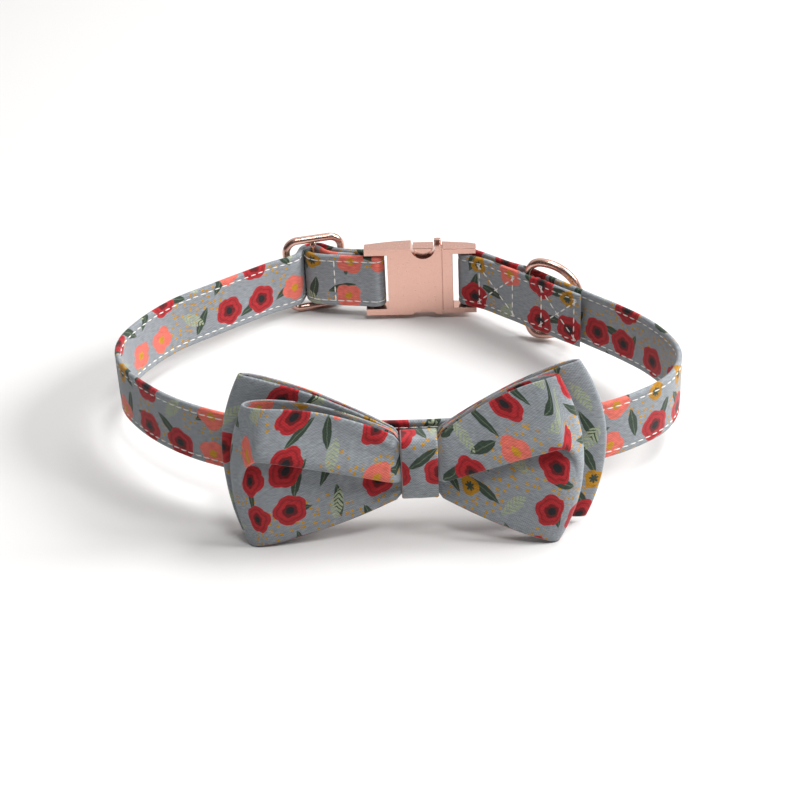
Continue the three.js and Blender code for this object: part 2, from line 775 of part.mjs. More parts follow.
// The plain pad that joins the bow to the strap, hidden behind the band
function bowPad() {
  const front = BAND_BACK_Y + GAP;
  const back = STRAP_BEHIND_BOW_Y - STRAP_THICKNESS / 2 - GAP;
  const low = [BOW_MIDDLE_X - PAD_WIDTH / 2, front, PINCH_MIDDLE_Z - PAD_HEIGHT / 2];
  const high = [BOW_MIDDLE_X + PAD_WIDTH / 2, back, PINCH_MIDDLE_Z + PAD_HEIGHT / 2];
  return cloth("bow_pad", boxBetween(low, high));
}

// The whole collar

const buckle = new THREE.Group();
buckle.position.set(BUCKLE_CENTRE.x, BUCKLE_CENTRE.y, BUCKLE_CENTRE.z);
buckle.rotation.z = radians(BUCKLE_TURN_DEG);
buckle.add(buckleHousing(), buckleInsert());

const loop = new THREE.Group();
loop.rotation.x = -radians(TIP_BACK_DEG);
loop.add(collarStrap(), slider(), buckle, dRing());
loop.add(bow("bow_back"), bow("bow_front"), bowBand(), bowPad());

// The origin is under the middle of the collar, on the surface that it lies on
const collar = new THREE.Group();
collar.add(loop);
collar.updateMatrixWorld(true);
const box = new THREE.Box3().setFromObject(collar, true);
loop.position.set(-(box.min.x + box.max.x) / 2, -(box.min.y + box.max.y) / 2, -box.min.z);
collar.updateMatrixWorld(true);

export default collar;
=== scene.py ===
# %% [markdown]
# # A pet bow tie collar
# The collar is a cloth-covered strap that closes in a loop with a metal buckle. A slider sets its
# length, a ring on a swivel takes the leash, and a bow of two cloth loops sits across the front.
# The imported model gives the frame: every piece here is drawn where its plain solid is, in metres,
# and stands for that solid. Sizes are written in millimetres, because that is how a maker of
# collars measures them.

# %% The frame
import math

import bmesh
import bpy
from mathutils import Matrix, Vector, noise


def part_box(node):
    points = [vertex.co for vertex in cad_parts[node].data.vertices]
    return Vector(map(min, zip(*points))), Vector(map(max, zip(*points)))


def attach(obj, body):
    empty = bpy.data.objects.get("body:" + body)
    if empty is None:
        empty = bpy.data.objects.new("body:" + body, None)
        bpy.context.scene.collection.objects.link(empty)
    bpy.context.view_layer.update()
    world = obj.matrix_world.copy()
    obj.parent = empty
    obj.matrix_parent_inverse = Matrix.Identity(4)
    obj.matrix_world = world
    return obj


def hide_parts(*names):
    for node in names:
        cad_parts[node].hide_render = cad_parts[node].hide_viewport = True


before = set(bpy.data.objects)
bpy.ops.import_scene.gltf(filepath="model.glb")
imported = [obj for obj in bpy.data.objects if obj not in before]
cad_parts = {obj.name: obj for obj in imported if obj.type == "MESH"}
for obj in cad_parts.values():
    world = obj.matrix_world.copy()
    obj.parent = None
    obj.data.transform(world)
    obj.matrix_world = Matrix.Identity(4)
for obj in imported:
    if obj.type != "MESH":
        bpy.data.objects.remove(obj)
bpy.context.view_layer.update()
MM = 0.001
print("solids in the frame:", len(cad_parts))

# %% [markdown]
# The collar lies on the table on the bow's lower corners, so its loop is tipped back a little.
# It is easier to draw the loop flat, with the strap's lower edge at height 0, and to tip each
# finished point. The hidden pad behind the bow shows how far the loop was moved, because its
# middle is known in both frames.

# %% From the flat loop to the table
GAP = 0.3
TIP_BACK = math.radians(5.04)
STRAP_WIDTH = 20.0
STRAP_THICKNESS = 1.8
STRAP_BEHIND_BOW_Y = -44.1
BOW_MIDDLE_X = 4.9
PINCH_MIDDLE_Z = 9.2
BAND_BACK_Y = -46.8

tip = Matrix.Rotation(-TIP_BACK, 3, "X")
pad_middle = Vector((
    BOW_MIDDLE_X,
    (BAND_BACK_Y + STRAP_BEHIND_BOW_Y - STRAP_THICKNESS / 2) / 2,
    PINCH_MIDDLE_Z,
))
pad_low, pad_high = (Vector(corner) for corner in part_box("bow_pad"))
loop_move = (pad_low + pad_high) / 2 / MM - tip @ pad_middle


def on_table(point):
    """A point of the flat loop, in millimetres, as a point of the model in metres."""
    return (tip @ Vector(point) + loop_move) * MM


print("the loop is moved by", [round(value, 3) for value in loop_move])

# %% Small helpers
COLLAR = "collar"
LEASH_RING = "leash_ring"
CLOTH_MAP = "cloth"
MAP_MM = 100.0


def mix(a, b, share):
    return a + (b - a) * share


def smooth(value, low, high):
    share = min(max((value - low) / (high - low), 0.0), 1.0)
    return share * share * (3 - 2 * share)


def turned(place, turn, along, out, up=0.0):
    """A point in the frame of a turned piece: along it, out from the neck, and up."""
    return Vector((
        place[0] + along * math.cos(turn) - out * math.sin(turn),
        place[1] + along * math.sin(turn) + out * math.cos(turn),
        (place[2] if len(place) > 2 else 0.0) + up,
    ))


def part_of_circle(centre, radius, start, end, steps):
    """Rows of (x, y, angle) on a circle, between two angles in degrees."""
    angles = [math.radians(mix(start, end, i / steps)) for i in range(steps + 1)]
    return [(centre[0] + radius * math.cos(angle), centre[1] + radius * math.sin(angle), angle)
            for angle in angles]


def grid_faces(rings, sides, closed):
    """Faces between rings of points, and from the last ring to the first if closed."""
    faces = []
    for i in range(rings if closed else rings - 1):
        n = (i + 1) % rings
        for j in range(sides):
            k = (j + 1) % sides
            faces.append((i * sides + j, n * sides + j, n * sides + k, i * sides + k))
    return faces


def add_object(name, data):
    made = bpy.data.objects.new(name, data)
    bpy.context.scene.collection.objects.link(made)
    return made


def piece_from(name, points, faces, cloth_places=None):
    """A mesh object from points of the flat loop. cloth_places gives each face's corners
    their places on the flat cloth, in millimetres."""
    mesh = bpy.data.meshes.new(name)
    mesh.from_pydata([on_table(point) for point in points], [], faces)
    if cloth_places:
        cloth_map = mesh.uv_layers.new(name=CLOTH_MAP)
        corners = [place for face in cloth_places for place in face]
        for corner, place in zip(cloth_map.data, corners):
            corner.uv = (place[0] / MAP_MM, place[1] / MAP_MM)
    mesh.polygons.foreach_set("use_smooth", [True] * len(mesh.polygons))
    shell = bmesh.new()
    shell.from_mesh(mesh)
    bmesh.ops.recalc_face_normals(shell, faces=shell.faces)
    shell.to_mesh(mesh)
    shell.free()
    return add_object(name, mesh)


def as_mesh(made):
    """The object with its modifiers turned into plain mesh."""
    depsgraph = bpy.context.evaluated_depsgraph_get()
    mesh = bpy.data.meshes.new_from_object(made.evaluated_get(depsgraph))
    made.modifiers.clear()
    made.data = mesh
    return made


# %% [markdown]
# ## Materials
# Every finish is a node tree. Two small functions are enough for all of them: one turns a hex
# colour, which is what a paint card or an image program gives, into the linear numbers that the
# renderer mixes light with, and one adds a node with its settings and links.

# %% Colour and node helpers


def linear(hex_colour):
    """An sRGB hex colour as linear red, green, blue and alpha."""
    values = [int(hex_colour[i:i + 2], 16) / 255 for i in (1, 3, 5)]
    return (*(v / 12.92 if v <= 0.04045 else ((v + 0.055) / 1.055) ** 2.4 for v in values), 1.0)


def add_node(tree, kind, inputs=None, **settings):
    """A new node. inputs maps a socket's name or number to a value, a node or a socket."""
    made = tree.nodes.new(kind)
    for name, value in settings.items():
        setattr(made, name, value)
    for socket, value in (inputs or {}).items():
        if isinstance(value, bpy.types.Node):
            value = next(output for output in value.outputs if output.enabled)
        if isinstance(value, bpy.types.NodeSocket):
            tree.links.new(value, made.inputs[socket])
        else:
            made.inputs[socket].default_value = value
    return made


def new_material(name):
    material = bpy.data.materials.new(name)
    material.use_nodes = True
    material.node_tree.nodes.clear()
    return material, material.node_tree


MATH = "ShaderNodeMath"
VECTOR = "ShaderNodeVectorMath"
MIX = "ShaderNodeMix"
MIX_A, MIX_B = 6, 7

# %% [markdown]
# ### Printed cotton
# The strap and the bow are quilting cotton with a printed flower pattern: a plain weave of fine
# threads, matt, with a faint fuzz that catches light at grazing angles. The ground is a soft
# grey-blue, the flowers are 10 to 11 mm across and the berries 6 mm. A printed pattern belongs
# to the flat cloth, so it reads each piece's own map, whose unit is 100 mm of cloth, and it
# bends and folds with the cloth.
#
# Flowers that never line up come from a Voronoi texture. It scatters points at a given spacing,
# and tells each place which point is nearest. The step from that point is then a small frame
# of its own, in which one flower or one leaf is drawn with angles and distances.

# %% Where the motifs lie
PRINT_EDGE = 0.16


def motif_frame(tree, cloth_place, spacing, shift, scatter=0.6):
    """Scattered frames, one round each point: x and y in mm, the distance from the middle, and
    three random numbers that are the same all over one motif."""
    moved = add_node(tree, VECTOR, {0: cloth_place, 1: (*shift, 0.0)}, operation="ADD")
    points = add_node(
        tree, "ShaderNodeTexVoronoi",
        {"Vector": moved, "Scale": 1 / spacing, "Randomness": scatter},
        voronoi_dimensions="2D", feature="F1",
    )
    step = add_node(
        tree, VECTOR, {0: moved, 1: points.outputs["Position"]}, operation="SUBTRACT")
    chance = add_node(tree, "ShaderNodeSeparateColor", {0: points.outputs["Color"]})
    turn = add_node(tree, MATH, {0: chance.outputs[0], 1: math.tau}, operation="MULTIPLY")
    own = add_node(
        tree, "ShaderNodeVectorRotate", {"Vector": step, "Angle": turn}, rotation_type="Z_AXIS")
    axes = add_node(tree, "ShaderNodeSeparateXYZ", {0: own})
    away = add_node(tree, VECTOR, {0: step}, operation="LENGTH")
    return axes.outputs[0], axes.outputs[1], away, chance.outputs


def petals(tree, x, y, count, radius, dip):
    """How far a flower's outline is from its middle: it dips between the petals."""
    angle = add_node(tree, MATH, {0: y, 1: x}, operation="ARCTAN2")
    half_turns = add_node(tree, MATH, {0: angle, 1: count / 2}, operation="MULTIPLY")
    wave = add_node(tree, MATH, {0: half_turns}, operation="COSINE")
    lobe = add_node(tree, MATH, {0: wave}, operation="ABSOLUTE")
    return add_node(
        tree, MATH, {0: lobe, 1: radius * dip, 2: radius * (1 - dip)}, operation="MULTIPLY_ADD")


def inside(tree, edge, away, sharp=PRINT_EDGE):
    """1 where the distance is less than the edge, with a soft printed border."""
    spare = add_node(tree, MATH, {0: edge, 1: away}, operation="SUBTRACT")
    return add_node(
        tree, MATH, {0: spare, 1: 1 / sharp, 2: 0.5}, operation="MULTIPLY_ADD", use_clamp=True)


def printed(tree, below, ink, where, chance=1.0, least=0.0):
    """The cloth's colour with one ink printed over it, on the motifs whose random number is
    over the least."""
    present = add_node(tree, MATH, {0: chance, 1: least}, operation="GREATER_THAN")
    mask = add_node(tree, MATH, {0: where, 1: present}, operation="MULTIPLY")
    return add_node(tree, MIX, {0: mask, MIX_A: below, MIX_B: ink}, data_type="RGBA")


def leaf_shape(tree, x, y, half_length, half_width):
    """A leaf with two points: its half width falls to nothing at each end. The distance from
    its midrib comes with it."""
    part = add_node(tree, MATH, {0: x, 1: half_length}, operation="DIVIDE")
    squared = add_node(tree, MATH, {0: part, 1: part}, operation="MULTIPLY")
    half = add_node(
        tree, MATH, {0: squared, 1: -half_width, 2: half_width}, operation="MULTIPLY_ADD")
    off_axis = add_node(tree, MATH, {0: y}, operation="ABSOLUTE")
    return inside(tree, half, off_axis), off_axis


# %% The printed cotton itself
GROUND = linear("#969ca0")
GROUND_DEEP = linear("#83888e")
MUSTARD = linear("#c18d20")
MUSTARD_DEEP = linear("#98670f")
PALE_GREEN = linear("#a0a98c")
DARK_GREEN = linear("#354337")
LEAF_RIB = linear("#66735f")
CORAL = linear("#dc6e60")
RED = linear("#ad232a")
RED_DEEP = linear("#681116")
NEAR_BLACK = linear("#1b1a1e")
# Sizes on the cloth, in mm
THREAD_SPACING = 0.8
WOBBLE = 0.6
DOT_SPACING, DOT_RADIUS = 2.6, 0.5
LEAF_SPACING = 12.0
LEAF_HALF_LENGTH, LEAF_HALF_WIDTH = 5.6, 1.5
SPRIG_HALF_LENGTH, SPRIG_HALF_WIDTH = 5.2, 2.1
FLOWER_SPACING = 13.8
BERRY_RADIUS, CUP_RADIUS = 3.2, 1.6
CORAL_RADIUS, EYE_RADIUS = 4.9, 1.5
RED_RADIUS, HEART_RADIUS, BLACK_RADIUS = 5.4, 2.4, 1.3
# Where the random number that picks a motif of the main layer passes to the next motif
SPRIG_UP_TO, CORAL_FROM, RED_FROM = 0.22, 0.42, 0.57
# How the leaflets slant and how close they stand, and the red petals' strokes likewise
LEAFLET_SLANT, LEAFLETS, STROKES = -0.9, 4.6, 19.0
# The height of the thick places in the yarn, and how much the weave's height shades the cloth
SLUB_HEIGHT, WEAVE_SHADE, WEAVE_TONE = 4.6, 0.2, 0.5


def printed_cotton():
    material, tree = new_material("printed_quilting_cotton")
    flat = add_node(tree, "ShaderNodeUVMap", uv_map=CLOTH_MAP)
    place = add_node(tree, VECTOR, {0: flat, "Scale": MAP_MM}, operation="SCALE")
    wobble = add_node(
        tree, "ShaderNodeTexNoise", {"Vector": place, "Scale": 0.4, "Detail": 1.0},
        noise_dimensions="2D",
    )
    drawn = add_node(
        tree, VECTOR, {0: wobble.outputs["Color"], 1: (WOBBLE, WOBBLE, 0.0), 2: place},
        operation="MULTIPLY_ADD",
    )

    mottle = add_node(
        tree, "ShaderNodeTexNoise", {"Vector": place, "Scale": 0.9, "Detail": 4.0},
        noise_dimensions="2D",
    )
    colour = printed(tree, GROUND, GROUND_DEEP, mottle.outputs[0])

    # Dots of mustard in loose clusters
    _, _, away, _ = motif_frame(tree, drawn, DOT_SPACING, (3.0, 8.0), 0.75)
    clusters = add_node(
        tree, "ShaderNodeTexNoise", {"Vector": place, "Scale": 0.06, "Detail": 0.0},
        noise_dimensions="2D",
    )
    dots = inside(tree, DOT_RADIUS, away)
    colour = printed(tree, colour, MUSTARD, dots, clusters.outputs[0], 0.54)

    # Long dark leaves with a paler midrib, which lie under the flowers
    x, y, _, chance = motif_frame(tree, drawn, LEAF_SPACING, (2.0, 31.0), 0.45)
    shape, off_axis = leaf_shape(tree, x, y, LEAF_HALF_LENGTH, LEAF_HALF_WIDTH)
    rib = inside(tree, 0.1, off_axis, 0.2)
    leaf_ink = printed(tree, DARK_GREEN, LEAF_RIB, rib)
    colour = printed(tree, colour, leaf_ink, shape, chance[1], 0.25)

    # Each place of the main layer holds one motif, which its second random number picks
    x, y, away, chance = motif_frame(tree, drawn, FLOWER_SPACING, (5.0, 11.0), 0.26)
    kind = chance[1]

    # Pale ferny sprigs, cut into leaflets along their stalk
    shape, off_axis = leaf_shape(tree, x, y, SPRIG_HALF_LENGTH, SPRIG_HALF_WIDTH)
    slant = add_node(tree, MATH, {0: off_axis, 1: LEAFLET_SLANT, 2: x}, operation="MULTIPLY_ADD")
    leaflets = add_node(tree, MATH, {0: slant, 1: LEAFLETS}, operation="MULTIPLY")
    comb = add_node(tree, MATH, {0: leaflets}, operation="SINE")
    cuts = add_node(
        tree, MATH, {0: comb, 1: 2.0, 2: 1.3}, operation="MULTIPLY_ADD", use_clamp=True)
    sprig = add_node(tree, MATH, {0: shape, 1: cuts}, operation="MULTIPLY")
    few = add_node(tree, MATH, {0: kind, 1: -1.0}, operation="MULTIPLY")
    colour = printed(tree, colour, PALE_GREEN, sprig, few, -SPRIG_UP_TO)

    # Mustard berries in a dark green cup
    berry = inside(tree, petals(tree, x, y, 3, BERRY_RADIUS, 0.25), away)
    berry_ink = printed(tree, MUSTARD, MUSTARD_DEEP, mottle.outputs[0])
    cup = inside(tree, petals(tree, x, y, 7, CUP_RADIUS, 0.5), away)
    berry_ink = printed(tree, berry_ink, DARK_GREEN, cup)
    colour = printed(tree, colour, berry_ink, berry, kind, SPRIG_UP_TO)

    # Coral flowers with four wide petals and a mustard eye
    coral = inside(tree, petals(tree, x, y, 4, CORAL_RADIUS, 0.2), away)
    eye = inside(tree, petals(tree, x, y, 6, EYE_RADIUS, 0.3), away)
    coral_ink = printed(tree, CORAL, MUSTARD, eye)
    colour = printed(tree, colour, coral_ink, coral, kind, CORAL_FROM)

    # Red flowers with five petals, drawn in rings of darker strokes
    outline = petals(tree, x, y, 5, RED_RADIUS, 0.14)
    rings = add_node(tree, MATH, {0: away, 1: outline}, operation="DIVIDE")
    strokes = add_node(tree, MATH, {0: rings, 1: STROKES}, operation="MULTIPLY")
    stroke_wave = add_node(tree, MATH, {0: strokes}, operation="SINE")
    dark_stroke = add_node(
        tree, MATH, {0: stroke_wave, 1: 0.5, 2: 0.05}, operation="MULTIPLY_ADD", use_clamp=True)
    red_ink = printed(tree, RED, RED_DEEP, dark_stroke)
    heart = inside(tree, petals(tree, x, y, 5, HEART_RADIUS, 0.2), away)
    red_ink = printed(tree, red_ink, RED_DEEP, heart)
    red_ink = printed(tree, red_ink, NEAR_BLACK, inside(tree, BLACK_RADIUS, away, 0.3))
    colour = printed(tree, colour, red_ink, inside(tree, outline, away), kind, RED_FROM)

    # Plain weave: the threads of each direction show in turn. Real threads are about 0.4 mm
    # apart. They are drawn coarser here, so that the weave still reads from the camera.
    turns = math.tau / THREAD_SPACING
    phase = add_node(tree, VECTOR, {0: place, "Scale": turns}, operation="SCALE")
    threads = add_node(tree, "ShaderNodeSeparateXYZ", {0: phase})
    warp = add_node(tree, MATH, {0: threads.outputs[0]}, operation="SINE")
    weft = add_node(tree, MATH, {0: threads.outputs[1]}, operation="SINE")
    weave = add_node(tree, MATH, {0: warp, 1: weft}, operation="MULTIPLY")
    drawn_out = add_node(tree, VECTOR, {0: place, 1: (0.5, 2.6, 0.0)}, operation="MULTIPLY")
    slub = add_node(
        tree, "ShaderNodeTexNoise", {"Vector": drawn_out, "Scale": 1.0, "Detail": 3.0},
        noise_dimensions="2D",
    )
    height = add_node(
        tree, MATH, {0: slub.outputs[0], 1: SLUB_HEIGHT, 2: weave}, operation="MULTIPLY_ADD")
    value = add_node(
        tree, MATH, {0: height, 1: WEAVE_SHADE, 2: WEAVE_TONE}, operation="MULTIPLY_ADD")
    colour = add_node(tree, VECTOR, {0: colour, "Scale": value}, operation="SCALE")
    bump = add_node(
        tree, "ShaderNodeBump", {"Strength": 0.35, "Distance": 0.04 * MM, "Height": height})
    cotton = add_node(
        tree, "ShaderNodeBsdfPrincipled",
        {"Base Color": colour, "Roughness": 0.88, "Sheen Weight": 0.18, "Sheen Roughness": 0.5,
         "IOR": 1.46, "Specular IOR Level": 0.3, "Normal": bump},
    )
    add_node(tree, "ShaderNodeOutputMaterial", {0: cotton})
    return material


cotton = printed_cotton()
print("material:", cotton.name, "with", len(cotton.node_tree.nodes), "nodes")

# %% [markdown]
# ### Polyester thread
# The top-stitching is spun white polyester. Thread of this weight is about 0.5 mm thick, and
# its twist is too fine to see here, so a slight unevenness is enough.

# %% White thread


def white_thread():
    material, tree = new_material("spun_polyester_thread")
    place = add_node(tree, "ShaderNodeTexCoord")
    fuzz = add_node(
        tree, "ShaderNodeTexNoise",
        {"Vector": place.outputs["Object"], "Scale": 1 / (0.4 * MM), "Detail": 2.0},
    )
    tone = printed(tree, linear("#f4f2ee"), linear("#d9d6d0"), fuzz.outputs[0])
    thread = add_node(
        tree, "ShaderNodeBsdfPrincipled",
        {"Base Color": tone, "Roughness": 0.6, "Sheen Weight": 0.3},
    )
    add_node(tree, "ShaderNodeOutputMaterial", {0: thread})
    return material


thread = white_thread()
print("material:", thread.name, "with", len(thread.node_tree.nodes), "nodes")

# %% [markdown]
# ### Rose gold plating
# The buckle is die-cast zinc and the slider and ring are steel wire, all barrel polished and
# plated in a pink gold. Plating keeps the faint unevenness of the polish, so the reflections
# are satin rather than sharp. A metal needs no colour of its own besides that of its
# reflections, and its roughness varies a little from place to place.

# %% Rose gold


def rose_gold_plating():
    material, tree = new_material("rose_gold_plating")
    place = add_node(tree, "ShaderNodeTexCoord")
    polish = add_node(
        tree, "ShaderNodeTexNoise",
        {"Vector": place.outputs["Object"], "Scale": 1 / (0.7 * MM), "Detail": 2.0},
    )
    tone = printed(tree, linear("#d8aea0"), linear("#d3a899"), polish.outputs[0])
    rough = add_node(
        tree, "ShaderNodeMapRange", {"Value": polish.outputs[0], "To Min": 0.22, "To Max": 0.3})
    bump = add_node(
        tree, "ShaderNodeBump",
        {"Strength": 0.03, "Distance": 0.02 * MM, "Height": polish.outputs[0]},
    )
    metal = add_node(
        tree, "ShaderNodeBsdfPrincipled",
        {"Base Color": tone, "Metallic": 1.0, "Roughness": rough, "Normal": bump},
    )
    add_node(tree, "ShaderNodeOutputMaterial", {0: metal})
    return material


rose_gold = rose_gold_plating()
print("material:", rose_gold.name, "with", len(rose_gold.node_tree.nodes), "nodes")

# %% [markdown]
# ## The strap
# On the real collar a strip of cotton is folded round 20 mm webbing and stitched along both
# edges. It runs once round the neck, back through the slider, and round the end bars of the
# buckle. One smooth curve through the places where a maker would lay it gives its middle, and a
# section is carried along it. Between the points the curve is a Catmull-Rom spline, which
# passes through each of them.

# %% Where the metal parts are
SLIDER_CENTRE = (-28.4, 72.4, 10.55)
SLIDER_TURN = math.radians(13)
SLIDER_WIRE = 2.7
BUCKLE_LENGTH = 39.2
BUCKLE_CENTRE = (9.2, 66.0, STRAP_WIDTH / 2)
BUCKLE_TURN = math.radians(-2.5)
BUCKLE_BAR_RADIUS = 1.25
HOUSING_BAR_INSET, INSERT_BAR_INSET = 3.7, 3.0
D_RING_PLACE = (45.7, 48.2, 9.7)
D_RING_TURN = math.radians(-17)
D_RING_BAR = 2.4
STRAP_TURN_AT_D_RING = math.radians(-45.5)
# Where the strap lies against a bar that it is wrapped round, in degrees
ROUND_SLIDER_BAR = (38, 195)
ROUND_LEFT_BAR = (-98, 80)
ROUND_RIGHT_BAR = (50, 240)

left_bar_along = HOUSING_BAR_INSET - BUCKLE_LENGTH / 2
right_bar_along = BUCKLE_LENGTH / 2 - INSERT_BAR_INSET
left_bar = turned(BUCKLE_CENTRE[:2], BUCKLE_TURN, left_bar_along, 0)
right_bar = turned(BUCKLE_CENTRE[:2], BUCKLE_TURN, right_bar_along, 0)

# %% The strap's route
# x and y of the middle of its thickness on the long way round the neck
LONG_WAY_ROUND = [
    (-43.5, 63.0), (-49.7, 58.5), (-62.8, 48.5), (-75.5, 38.2), (-84.2, 26.4), (-89.4, 14.9),
    (-90.1, 6.5), (-88.2, -1.8), (-82.4, -11.7), (-71.8, -23.3), (-58.7, -32.6), (-44.6, -38.8),
    (-22.0, -42.6), (6.0, STRAP_BEHIND_BOW_Y), (30.0, -43.4), (48.0, -41.7), (60.2, -38.9),
    (72.6, -32.7), (82.2, -24.7), (87.2, -15.0), (88.0, -7.0), (86.0, 1.3), (81.2, 11.1),
    (73.0, 21.6), (64.3, 31.0), (55.8, 40.5),
]
# The doubled stretches: along and out from the slider's middle, or x and y
TAIL_AT_SLIDER = [(13.2, -8.3), (9.8, -6.5), (6.2, -4.9), (3.5, -1.9)]
INNER_LAYER_AT_SLIDER = [(-1.3, -3.1), (2.2, -5.4), (8.2, -8.1), (14.3, -10.7)]
OUTER_LAYER_AT_SLIDER = [
    (9.6, -3.3), (5.9, 0.1), (3.2, 3.5), (0.0, 4.5), (-3.3, 3.2), (-4.9, 0.5), (-6.3, -2.0),
    (-9.2, -3.5),
]
OUTER_LAYER_AT_D_RING = [(39.9, 55.6), (33.8, 61.4)]
INNER_LAYER_AT_D_RING = [(31.6, 58.6), (37.0, 53.4)]
FOLDED_END = [(49.9, 41.3), (55.9, 34.9), (61.7, 29.2)]


def arc(*circle):
    return [Vector((x, y, 0)) for x, y, _ in part_of_circle(*circle)]


def strap_route():
    """The points that the strap passes through, from its sewn end at the slider on."""
    loop_radius = GAP + STRAP_THICKNESS / 2
    beside = D_RING_BAR / 2 + loop_radius

    def by_slider(rows):
        return [turned(SLIDER_CENTRE[:2], SLIDER_TURN, *row) for row in rows]

    def by_ring(along, out):
        return turned(D_RING_PLACE[:2], STRAP_TURN_AT_D_RING, along, out)

    def flat(rows):
        return [Vector((x, y, 0)) for x, y in rows]

    return [
        *by_slider(TAIL_AT_SLIDER),
        *arc(SLIDER_CENTRE, SLIDER_WIRE / 2 + loop_radius, *ROUND_SLIDER_BAR, 6),
        *by_slider(INNER_LAYER_AT_SLIDER),
        *arc(left_bar, BUCKLE_BAR_RADIUS + loop_radius, *ROUND_LEFT_BAR, 9),
        *by_slider(OUTER_LAYER_AT_SLIDER),
        *flat(LONG_WAY_ROUND),
        by_ring(2, beside),
        by_ring(-2, beside),
        *flat(OUTER_LAYER_AT_D_RING),
        *arc(right_bar, BUCKLE_BAR_RADIUS + loop_radius, *ROUND_RIGHT_BAR, 9),
        *flat(INNER_LAYER_AT_D_RING),
        by_ring(-2, -beside),
        by_ring(2, -beside),
        *flat(FOLDED_END),
    ]


def smooth_curve(points, step):
    """Places an even step apart on a centripetal Catmull-Rom curve through the points."""
    before = points[0] * 2 - points[1]
    after = points[-1] * 2 - points[-2]
    ends = [before, *points, after]
    dense = []
    for p0, p1, p2, p3 in zip(ends, ends[1:], ends[2:], ends[3:]):
        d0, d1, d2 = ((b - a).length ** 0.5 for a, b in ((p0, p1), (p1, p2), (p2, p3)))
        slope_1 = ((p1 - p0) / d0 - (p2 - p0) / (d0 + d1) + (p2 - p1) / d1) * d1
        slope_2 = ((p2 - p1) / d1 - (p3 - p1) / (d1 + d2) + (p3 - p2) / d2) * d1
        pieces = max(2, round((p2 - p1).length / step * 6))
        for i in range(pieces):
            t = i / pieces
            dense.append(
                p1 * (2 * t ** 3 - 3 * t ** 2 + 1) + slope_1 * (t ** 3 - 2 * t ** 2 + t)
                + p2 * (3 * t ** 2 - 2 * t ** 3) + slope_2 * (t ** 3 - t ** 2)
            )
    dense.append(points[-1])
    lengths = [0.0]
    for a, b in zip(dense, dense[1:]):
        lengths.append(lengths[-1] + (b - a).length)
    count = round(lengths[-1] / step)
    places = []
    at = 0
    for i in range(count + 1):
        wanted = min(lengths[-1] * i / count, lengths[-1])
        while at < len(dense) - 2 and lengths[at + 1] < wanted:
            at += 1
        share = (wanted - lengths[at]) / (lengths[at + 1] - lengths[at])
        places.append(dense[at].lerp(dense[at + 1], share))
    return places, lengths[-1]


STRAP_STEP = 1.0
strap_middle, strap_length = smooth_curve(strap_route(), STRAP_STEP)
strap_out = []
for i in range(len(strap_middle)):
    ahead = strap_middle[min(i + 1, len(strap_middle) - 1)]
    behind = strap_middle[max(i - 1, 0)]
    way = (ahead - behind).normalized()
    strap_out.append(Vector((way.y, -way.x, 0)))
print("the strap is", round(strap_length), "mm long, in", len(strap_middle), "steps")

# %% [markdown]
# The section is not a plain rectangle. The cloth is round at the edges, and the stitching pulls
# it in along a line 2.2 mm from each edge, a little more at each stitch than between them. The
# far end is folded under, so it closes in a round nose.

# %% The strap's cloth
STITCH_INSET = 2.2
STITCH_PITCH = 3.0
STITCH_PULL = 0.26
PULL_WIDTH = 0.45
CRUMPLE, CRUMPLE_LENGTH, CRUMPLE_WIDTH = 0.05, 6.0, 5.0
WAVER, WAVER_LENGTH = 0.1, 14.0
THINNEST_HALF = 0.02
EDGE_ROUND = 0.9
SECTION_PLACES = [0, 0.08, 0.3, 0.6, 0.9, 1.4, 1.8, 2.0, 2.2, 2.4, 2.7, 3.2, 4.2, 6.0, 8.0, 10.0]
section_places = SECTION_PLACES + [STRAP_WIDTH - w for w in reversed(SECTION_PLACES[:-1])]


def half_thickness(across, along):
    """Half of the strap's thickness at a place across and along it."""
    edge = min(across, STRAP_WIDTH - across)
    side = 1 if across < STRAP_WIDTH / 2 else 2
    round_off = math.sqrt(max(0.0, 1 - (1 - min(edge / EDGE_ROUND, 1.0)) ** 2))
    from_seam = (edge - STITCH_INSET) / PULL_WIDTH
    beat = 0.6 - 0.4 * math.cos(math.tau * along / STITCH_PITCH)
    pull = STITCH_PULL * beat * math.exp(-from_seam * from_seam)
    crumple = CRUMPLE * noise.noise(
        Vector((along / CRUMPLE_LENGTH, across / CRUMPLE_WIDTH, side)))
    from_end = min(along, strap_length - along)
    nose = math.sqrt(max(0.0, 1 - (1 - min(from_end / EDGE_ROUND, 1.0)) ** 2))
    half = (STRAP_THICKNESS / 2 + crumple) * round_off - pull
    return max(THINNEST_HALF, half * nose)


def cloth_shell(name, rings, flats, closed):
    """A cloth piece through rings of points. flats holds their places on the flat cloth, with
    one more place in each ring, and one more ring where the shell is closed, so that the cloth
    runs on across a seam."""
    count, sides = len(rings), len(rings[0])
    faces = grid_faces(count, sides, closed)
    places = [(here[j], ahead[j], ahead[j + 1], here[j + 1])
              for here, ahead in zip(flats, flats[1:]) for j in range(sides)]
    if not closed:
        last = (count - 1) * sides
        faces.append(tuple(range(sides)))
        faces.append(tuple(last + j for j in reversed(range(sides))))
        places.append(flats[0][:sides])
        places.append(flats[-1][:sides][::-1])
    made = piece_from(name, [point for ring in rings for point in ring], faces, places)
    made.data.materials.append(cotton)
    return made


